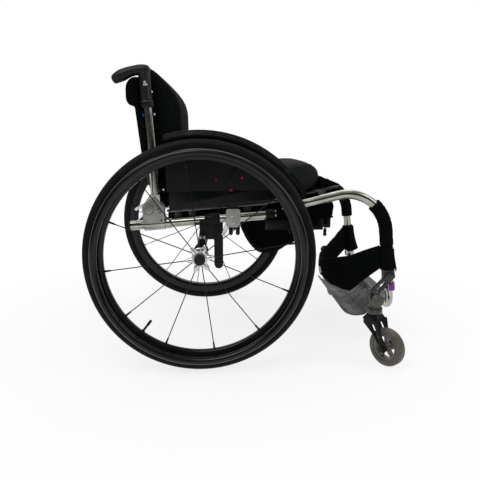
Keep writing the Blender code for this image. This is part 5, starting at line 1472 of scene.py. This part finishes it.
def makePouch():
    columns, points = pouch["columns"], []
    for i in range(columns + 1):
        v = -1 + 2 * i / columns
        v = math.copysign(1 - (1 - abs(v)) ** 1.25, v)
        ring = pouchRing(v)
        points += [spot(x, v * pouch["half"], z) for x, z in ring]
    count = len(ring)
    faces = ringFaces(columns, count)
    for i, turn in ((0, 1), (columns, -1)):
        # each side bulges a little and is creased, in rings that close on its middle
        v = -1 if i == 0 else 1
        rim = list(range(i * count, (i + 1) * count))
        middle = Vector((chair["axleX"] + 0.235, v * pouch["half"], 0.340))
        for share in (0.25, 0.5, 0.75):
            start = len(points)
            for k in range(count):
                edge = points[i * count + k]
                place = edge.lerp(middle, share)
                crease = waver(place.x * 30, 1.7 * v, place.z * 22)
                place.y = v * (pouch["half"] + 0.0012 * math.sin(math.pi * share) + 0.0016 * crease * share)
                place.y = v * min(abs(place.y), 0.1049)
                points.append(place)
            ring = list(range(start, start + count))
            for k in range(count):
                face = (rim[k], rim[(k + 1) % count], ring[(k + 1) % count], ring[k])
                faces.append(face[::-turn])
            rim = ring
        points.append(middle)
        faces += [(rim[k], rim[(k + 1) % count], len(points) - 1)[::-turn] for k in range(count)]
    thing = finer(pieceOf("pouch_bag", points, faces), 1)
    seams = []
    for v in (-0.985, 0.985):
        ring = [spot(x, v * pouch["half"], z) for x, z in pouchRing(v)[:74]]
        seams.append(onSurface(thing, ring))
    drawnIn(thing, seams, 0.004, 0.0010)
    dressed(thing, "cloth", "frame", 70, "black_cloth")
    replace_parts(thing, "under_seat_pouch")
    hem = []
    for v in np.linspace(-1.004, 1.004, 60):
        hem.append(spot(0.3788 + 0.0008 * math.sin(46 * v), v * pouch["half"],
                        pouch["mouthZ"] + 0.0015 * math.sin(23 * v)))
    near = [spot(x, -pouch["half"] - 0.0012,
                 pouch["mouthZ"] - 0.004 * eased((0.372 - x) / 0.12) + 0.0010 * math.sin(150 * x))
            for x in np.linspace(0.245, 0.374, 40)]
    far = [Vector((p.x, -p.y, p.z)) for p in reversed(near)]
    casing = [*near, *hem, *far]
    shapes = [tubeShape(casing, [0.0021 + 0.0005 * math.sin(i * 1.7) for i in range(len(casing))], 10)]
    built("pouch_casing", joined(*shapes), "webbing", "frame", 60)
    rows = [stitchShape([p + Vector((0, 0, 0.006)) for p in line]) for line in (near, far)]
    built("pouch_stitches", joined(*rows), "thread", "frame", 60)
    print("pouch made")


drawstring = {"route": ((0.3783, 0, 0.3780), (0.3789, 0, 0.3680), (0.3802, 0, 0.3520), (0.3805, 0, 0.3380),
                        (0.3798, 0, 0.3250), (0.3790, 0, 0.3130)), "radius": 0.0015}


def makeDrawstring():
    route = [spot(*p) for p in smoothRoute(drawstring["route"], 25)]
    cord = built("drawstring", tubeShape(route, drawstring["radius"], 12), "paleCord", "frame", 60,
                 "black_cloth")
    low = spot(0.3790, 0, 0.2905)
    profile = [(0.0, 0.0), (0.0036, 0.0002), (0.0052, 0.0014), (0.0056, 0.0050), (0.0048, 0.0100),
               (0.0054, 0.0150), (0.0046, 0.0215), (0.0028, 0.0243), (0.0, 0.0246)]
    toggle = built("drawstring_toggle", turnedShape(profile, 24, Matrix.Translation(low), False), "plastic",
                   "frame", 40, "black_plastic")
    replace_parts(cord, "pouch_drawstring")


release = {"pivot": (-0.143, 0, 0.420), "face": 0.1982, "thick": 0.0038, "radius": 0.0017,
           "tip": (-0.029, -0.016),
           "half": ((-0.0290, 0.1962, -0.0160), (-0.0400, 0.1942, 0.006), (-0.0440, 0.1822, 0.034),
                    (-0.0370, 0.1482, 0.056), (-0.0260, 0.085, 0.054), (-0.0200, 0, 0.046))}


def makeRelease():
    # two light metal levers and the cord tied between them
    px, _, pz = release["pivot"]
    tipX, tipZ = release["tip"]
    way = math.atan2(tipZ, tipX)
    outline = [(px + 0.0042 * math.cos(t), pz + 0.0042 * math.sin(t))
               for t in np.linspace(way + math.pi / 2, way + 1.5 * math.pi, 12)]
    outline += [(px + tipX + 0.0040 * math.cos(t), pz + tipZ + 0.0040 * math.sin(t))
                for t in np.linspace(way - math.pi / 2, way + math.pi / 2, 12)]
    shapes = []
    for side, _ in sides:
        low, high = sorted((side * release["face"], side * (release["face"] - release["thick"])))
        shapes.append(plateShape(outline, low, high))
    levers = softened(built("release_levers", joined(*shapes), "steel", "release", 40, "satin_grey"),
                      0.0006)
    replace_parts(levers, "back_release")
    half = [Vector(p) for p in release["half"]]
    whole = half + [Vector((p.x, -p.y, p.z)) for p in reversed(half[:-1])]
    route = [spot(px + p.x, p.y, pz + p.z) for p in smoothRoute(whole, 121)]
    cord = built("release_cord", tubeShape(route, release["radius"], 12), "webbing", "release", 60,
                 "black_cloth")


strap = {"backX": 0.37, "thick": 0.0034, "flaps": {-1: (0.2330, 0.2950, 0.0035), 1: (0.2020, 0.2870, 0.0115)},
         "loop": {-1: (0.2395, 0.304), 1: (0.2395, 0.289)},
         "line": ((-1, 0.2440, 0.3015), (-0.65, 0.1520, 0.2550), (-0.35, 0.1560, 0.2340), (0, 0.1680, 0.2190),
                  (0.35, 0.1640, 0.2240), (0.6, 0.1660, 0.2340), (0.8, 0.1800, 0.2540), (1, 0.2100, 0.2865))}


def strapSpot(across, up):
    # across runs from -1 at the right tube to 1 at the left, up from 0 to 1
    places = [p[0] for p in strap["line"]]
    low = float(np.interp(across, places, [p[1] for p in strap["line"]]))
    high = float(np.interp(across, places, [p[2] for p in strap["line"]]))
    low += 0.0045 * abs(math.sin(math.pi * across * 5.5)) * (1 - abs(across)) * (across > -0.7)
    z = mixed(low, high, up)
    x = strap["backX"] + (legLine(z) - 0.0128 - strap["backX"]) * across * across
    bow = 0.0035 * math.sin(math.pi * up) * (1 - across * across)
    slack = 0.0016 * waver(across * 4, up * 1.5, 2.2)
    return spot(x - bow + slack, across * (chair["tubeY"] - 0.0085), z)


def makeStrap():
    columns, rows = 88, 14
    thing = grownSkin("calf_band", *netShape(columns, rows, lambda a, b: strapSpot(-1 + 2 * a, b)),
                      strap["thick"], "cloth", "frame", "black_cloth")
    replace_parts(thing, "calf_strap")
    loops = []
    for side, _ in sides:
        low, high = strap["loop"][side]
        start, end = legSpot(low, side), legSpot(high - 0.0006, side)
        rings = 14
        route, radii = [], []
        for k in range(rings + 1):
            flare = (1 - k / rings) ** 2
            route.append(start.lerp(end, k / rings) + Vector((0.0022 * flare, 0, 0)))
            radii.append(chair["tubeRadius"] + 0.0044 + 0.0024 * flare + 0.0004 * math.sin(k * 2.1 + side))
        radii[0] -= 0.0012
        radii[-1] -= 0.0010
        loops.append(tubeShape(route, radii, 40))
    wraps = built("calf_band_loops", joined(*loops), "cloth", "frame", 50, "black_cloth")
    flaps = []
    for side, (low, high, reach) in strap["flaps"].items():
        def place(a, b, side=side, low=low, high=high, reach=reach):
            # wrapped round the front and the inboard side of the leg, flaring towards its lower edge
            turn = math.radians(mixed(-42, 172, a))
            flare = (1 - b) ** 1.6
            ragged = 0.0035 * math.sin(7 * a) * (1 - b)
            z = mixed(low, high, b) + ragged
            spread = reach * flare * (0.55 + 0.45 * math.cos(turn))
            r = chair["tubeRadius"] + 0.0062 + spread + 0.0006 * math.sin(9 * a + 5 * b)
            leg = legSpot(z, side)
            return leg + Vector((r * math.cos(turn), -side * r * math.sin(turn), 0))
        flaps.append(netShape(30, 16, place))
    skirts = grownSkin("calf_band_flaps", *joined(*flaps), 0.0024, "cloth", "frame", "black_cloth")
    edges, rowsOf = [], []
    for level in (0.0, 1.0):
        line = [strapSpot(a, level) for a in np.linspace(-0.985, 0.985, 120)]
        edges.append(tubeShape(line, 0.0024, 8))
    for level in (0.09, 0.91):
        for face in (-1, 1):
            line = [strapSpot(a, level) + Vector((face * (strap["thick"] / 2 + 0.0002), 0, 0))
                    for a in np.linspace(-0.97, 0.97, 120)]
            rowsOf.append(stitchShape(line))
    binding = built("calf_band_binding", joined(*edges), "webbing", "frame", 60)
    stitches = built("calf_band_stitches", joined(*rowsOf), "thread", "frame", 60)
    width = sum((strapSpot(-1 + 2 * (k + 1) / columns, 0.5) - strapSpot(-1 + 2 * k / columns, 0.5)).length
                for k in range(columns))
    for i in range(columns):
        for k in range(rows):
            a, b, c, d = [strapSpot(-1 + 2 * (i + p) / columns, (k + q) / rows)
                          for p, q in ((0, 0), (1, 0), (1, 1), (0, 1))]
    snap = strapSpot(0.05, 0.86) + Vector((strap["thick"] / 2, 0, 0))
    turned = Matrix.Translation(snap) @ Matrix.Rotation(math.pi / 2, 4, "Y")
    profile = [(0.0, 0.0022), (0.0030, 0.0021), (0.0042, 0.0016), (0.0050, 0.0008), (0.0052, 0.0), (0.0, 0.0)]
    built("calf_band_snap", turnedShape(profile, 24, turned, False), "steel", "frame", 40)
    bars = [((-0.10, up), (-0.02, up)) for up in (0.18, 0.32, 0.46)]
    bars += [((a, 0.16), (a, 0.48)) for a in (-0.10, -0.02)]
    before = Vector((-0.0035, 0, 0))
    slide = [rodShape(strapSpot(*start) + before, strapSpot(*end) + before, 0.0014, None, 12)
             for start, end in bars]
    built("calf_band_slide", joined(*slide), "steel", "frame", 40)


makeWheels()
makeTubes()
makeFootrest()
makeFootplate()
makePosts()
makeHandles()
makeFenders()
makeReceivers()
dressBrackets()
makeFittings()
makeCasters()
makeCasterFittings()
makeSeatCushion()
makeRoll()
makeBackCushion()
makeBackPanel()
trims = makeApron()
makeSling()
makePouch()
makeDrawstring()
makeRelease()
makeStrap()


# Camera, light and stage

studio = {"cameraPlace": (-0.0776, -1.5814, 0.5896), "tilt": 78.911, "turn": -2.496, "lens": 38.897,
          "keyWatts": 26.0, "fillWatts": 9.0, "worldFill": 0.55}


def makeCamera():
    data = bpy.data.cameras.new("camera")
    data.lens = studio["lens"]
    data.sensor_width = 36
    camera = bpy.data.objects.new("camera", data)
    camera.location = studio["cameraPlace"]
    camera.rotation_euler = (math.radians(studio["tilt"]), 0, math.radians(studio["turn"]))
    bpy.context.scene.collection.objects.link(camera)
    bpy.context.scene.camera = camera


def seenRays(nodes, links):
    # 1 for camera, mirror and glass rays, 0 for the rays that light the object
    rays = node(nodes, "ShaderNodeLightPath")
    seen = combined(nodes, links, rays.outputs["Is Camera Ray"], rays.outputs["Is Glossy Ray"], "MAXIMUM")
    return combined(nodes, links, seen, rays.outputs["Is Transmission Ray"], "MAXIMUM")


def makeWorld():
    world = bpy.data.worlds.new("studio")
    bpy.context.scene.world = world
    world.use_nodes = True
    nodes, links = world.node_tree.nodes, world.node_tree.links
    nodes.clear()
    fill, white = [filled(node(nodes, "ShaderNodeBackground"),
                          {"Color": (1, 1, 1, 1), "Strength": strength})
                   for strength in (studio["worldFill"], 1.0)]
    both = node(nodes, "ShaderNodeMixShader")
    links.new(seenRays(nodes, links), both.inputs[0])
    links.new(fill.outputs[0], both.inputs[1])
    links.new(white.outputs[0], both.inputs[2])
    links.new(both.outputs[0], node(nodes, "ShaderNodeOutputWorld").inputs[0])


def makeFloor():
    shape = pieceOf("floor", [(x, y, -0.0005) for x, y in boxPoints(-20, -20, 20, 20)], [(0, 1, 2, 3)])
    material, nodes, links = bareMaterial("studio_floor")
    paper = filled(node(nodes, "ShaderNodeBsdfDiffuse"), {"Color": (0.9, 0.9, 0.9, 1)})
    glow = filled(node(nodes, "ShaderNodeEmission"), {"Color": (1, 1, 1, 1), "Strength": 1.0})
    distance = node(nodes, "ShaderNodeVectorMath", operation="LENGTH")
    links.new(placeOf(nodes), distance.inputs[0])
    far = ranged(nodes, links, distance.outputs["Value"], 0.80, 1.0)
    filled(far.node, {"From Min": 0.4, "From Max": 1.1})
    share = combined(nodes, links, seenRays(nodes, links), far, "MULTIPLY")
    both = node(nodes, "ShaderNodeMixShader")
    links.new(share, both.inputs[0])
    links.new(paper.outputs[0], both.inputs[1])
    links.new(glow.outputs[0], both.inputs[2])
    links.new(both.outputs[0], node(nodes, "ShaderNodeOutputMaterial").inputs[0])
    shape.data.materials.append(material)


def makeRoom():
    # a glowing shell seen only in reflections, a painted reflection that stands in for the dim half of a
    # room: dark near the floor, a painted bright band and a bright ceiling above
    radius = 6.0

    def place(a, b):
        turn, rise = math.radians(mixed(-195, 15, a)), math.radians(mixed(-4, 78, b))
        return (radius * math.cos(turn) * math.cos(rise), radius * math.sin(turn) * math.cos(rise),
                radius * math.sin(rise))

    room = pieceOf("room", *netShape(36, 18, place))
    material, nodes, links = bareMaterial("painted_reflection_glow")
    height = node(nodes, "ShaderNodeSeparateXYZ")
    links.new(placeOf(nodes), height.inputs[0])
    share = combined(nodes, links, height.outputs[2], 1 / radius, "MULTIPLY")
    ramp = node(nodes, "ShaderNodeValToRGB")
    # glow levels by height: painted reflections that put bright and dark bands on the metal and gloss parts;
    # the shell shows only in glossy reflections and casts no light on diffuse surfaces
    stops = ((0.0, 0.10), (0.22, 0.035), (0.50, 0.05), (0.66, 0.16), (0.74, 0.60), (0.84, 0.20), (1.0, 0.75))
    while len(ramp.color_ramp.elements) < len(stops):
        ramp.color_ramp.elements.new(0.5)
    for element, (place, level) in zip(ramp.color_ramp.elements, stops):
        element.position = place
        element.color = (level, level, level * 0.96, 1)
    links.new(share, ramp.inputs[0])
    glow = node(nodes, "ShaderNodeEmission")
    links.new(ramp.outputs[0], glow.inputs["Color"])
    links.new(glow.outputs[0], node(nodes, "ShaderNodeOutputMaterial").inputs[0])
    room.data.materials.append(material)
    for way in ("camera", "diffuse", "shadow", "transmission"):
        setattr(room, "visible_" + way, False)


def makeLamp(name, place, aim, watts, size):
    data = bpy.data.lights.new(name, "AREA")
    data.energy = watts
    data.shape = "RECTANGLE"
    data.size, data.size_y = size
    lamp = bpy.data.objects.new(name, data)
    lamp.location = place
    lamp.rotation_euler = (Vector(aim) - Vector(place)).to_track_quat("-Z", "Y").to_euler()
    bpy.context.scene.collection.objects.link(lamp)


makeCamera()
makeWorld()
makeFloor()
makeRoom()
makeLamp("key", (-0.9, -1.4, 2.3), (0, 0, 0.4), studio["keyWatts"], (1.6, 1.2))
makeLamp("fill", (1.8, -0.8, 1.5), (0, 0, 0.4), studio["fillWatts"], (1.2, 1.2))
makeLamp("top", (0.2, 0.9, 2.4), (0, 0, 0.4), studio["fillWatts"], (1.8, 1.2))
bpy.context.scene.view_settings.view_transform = "Standard"
print("stage set")
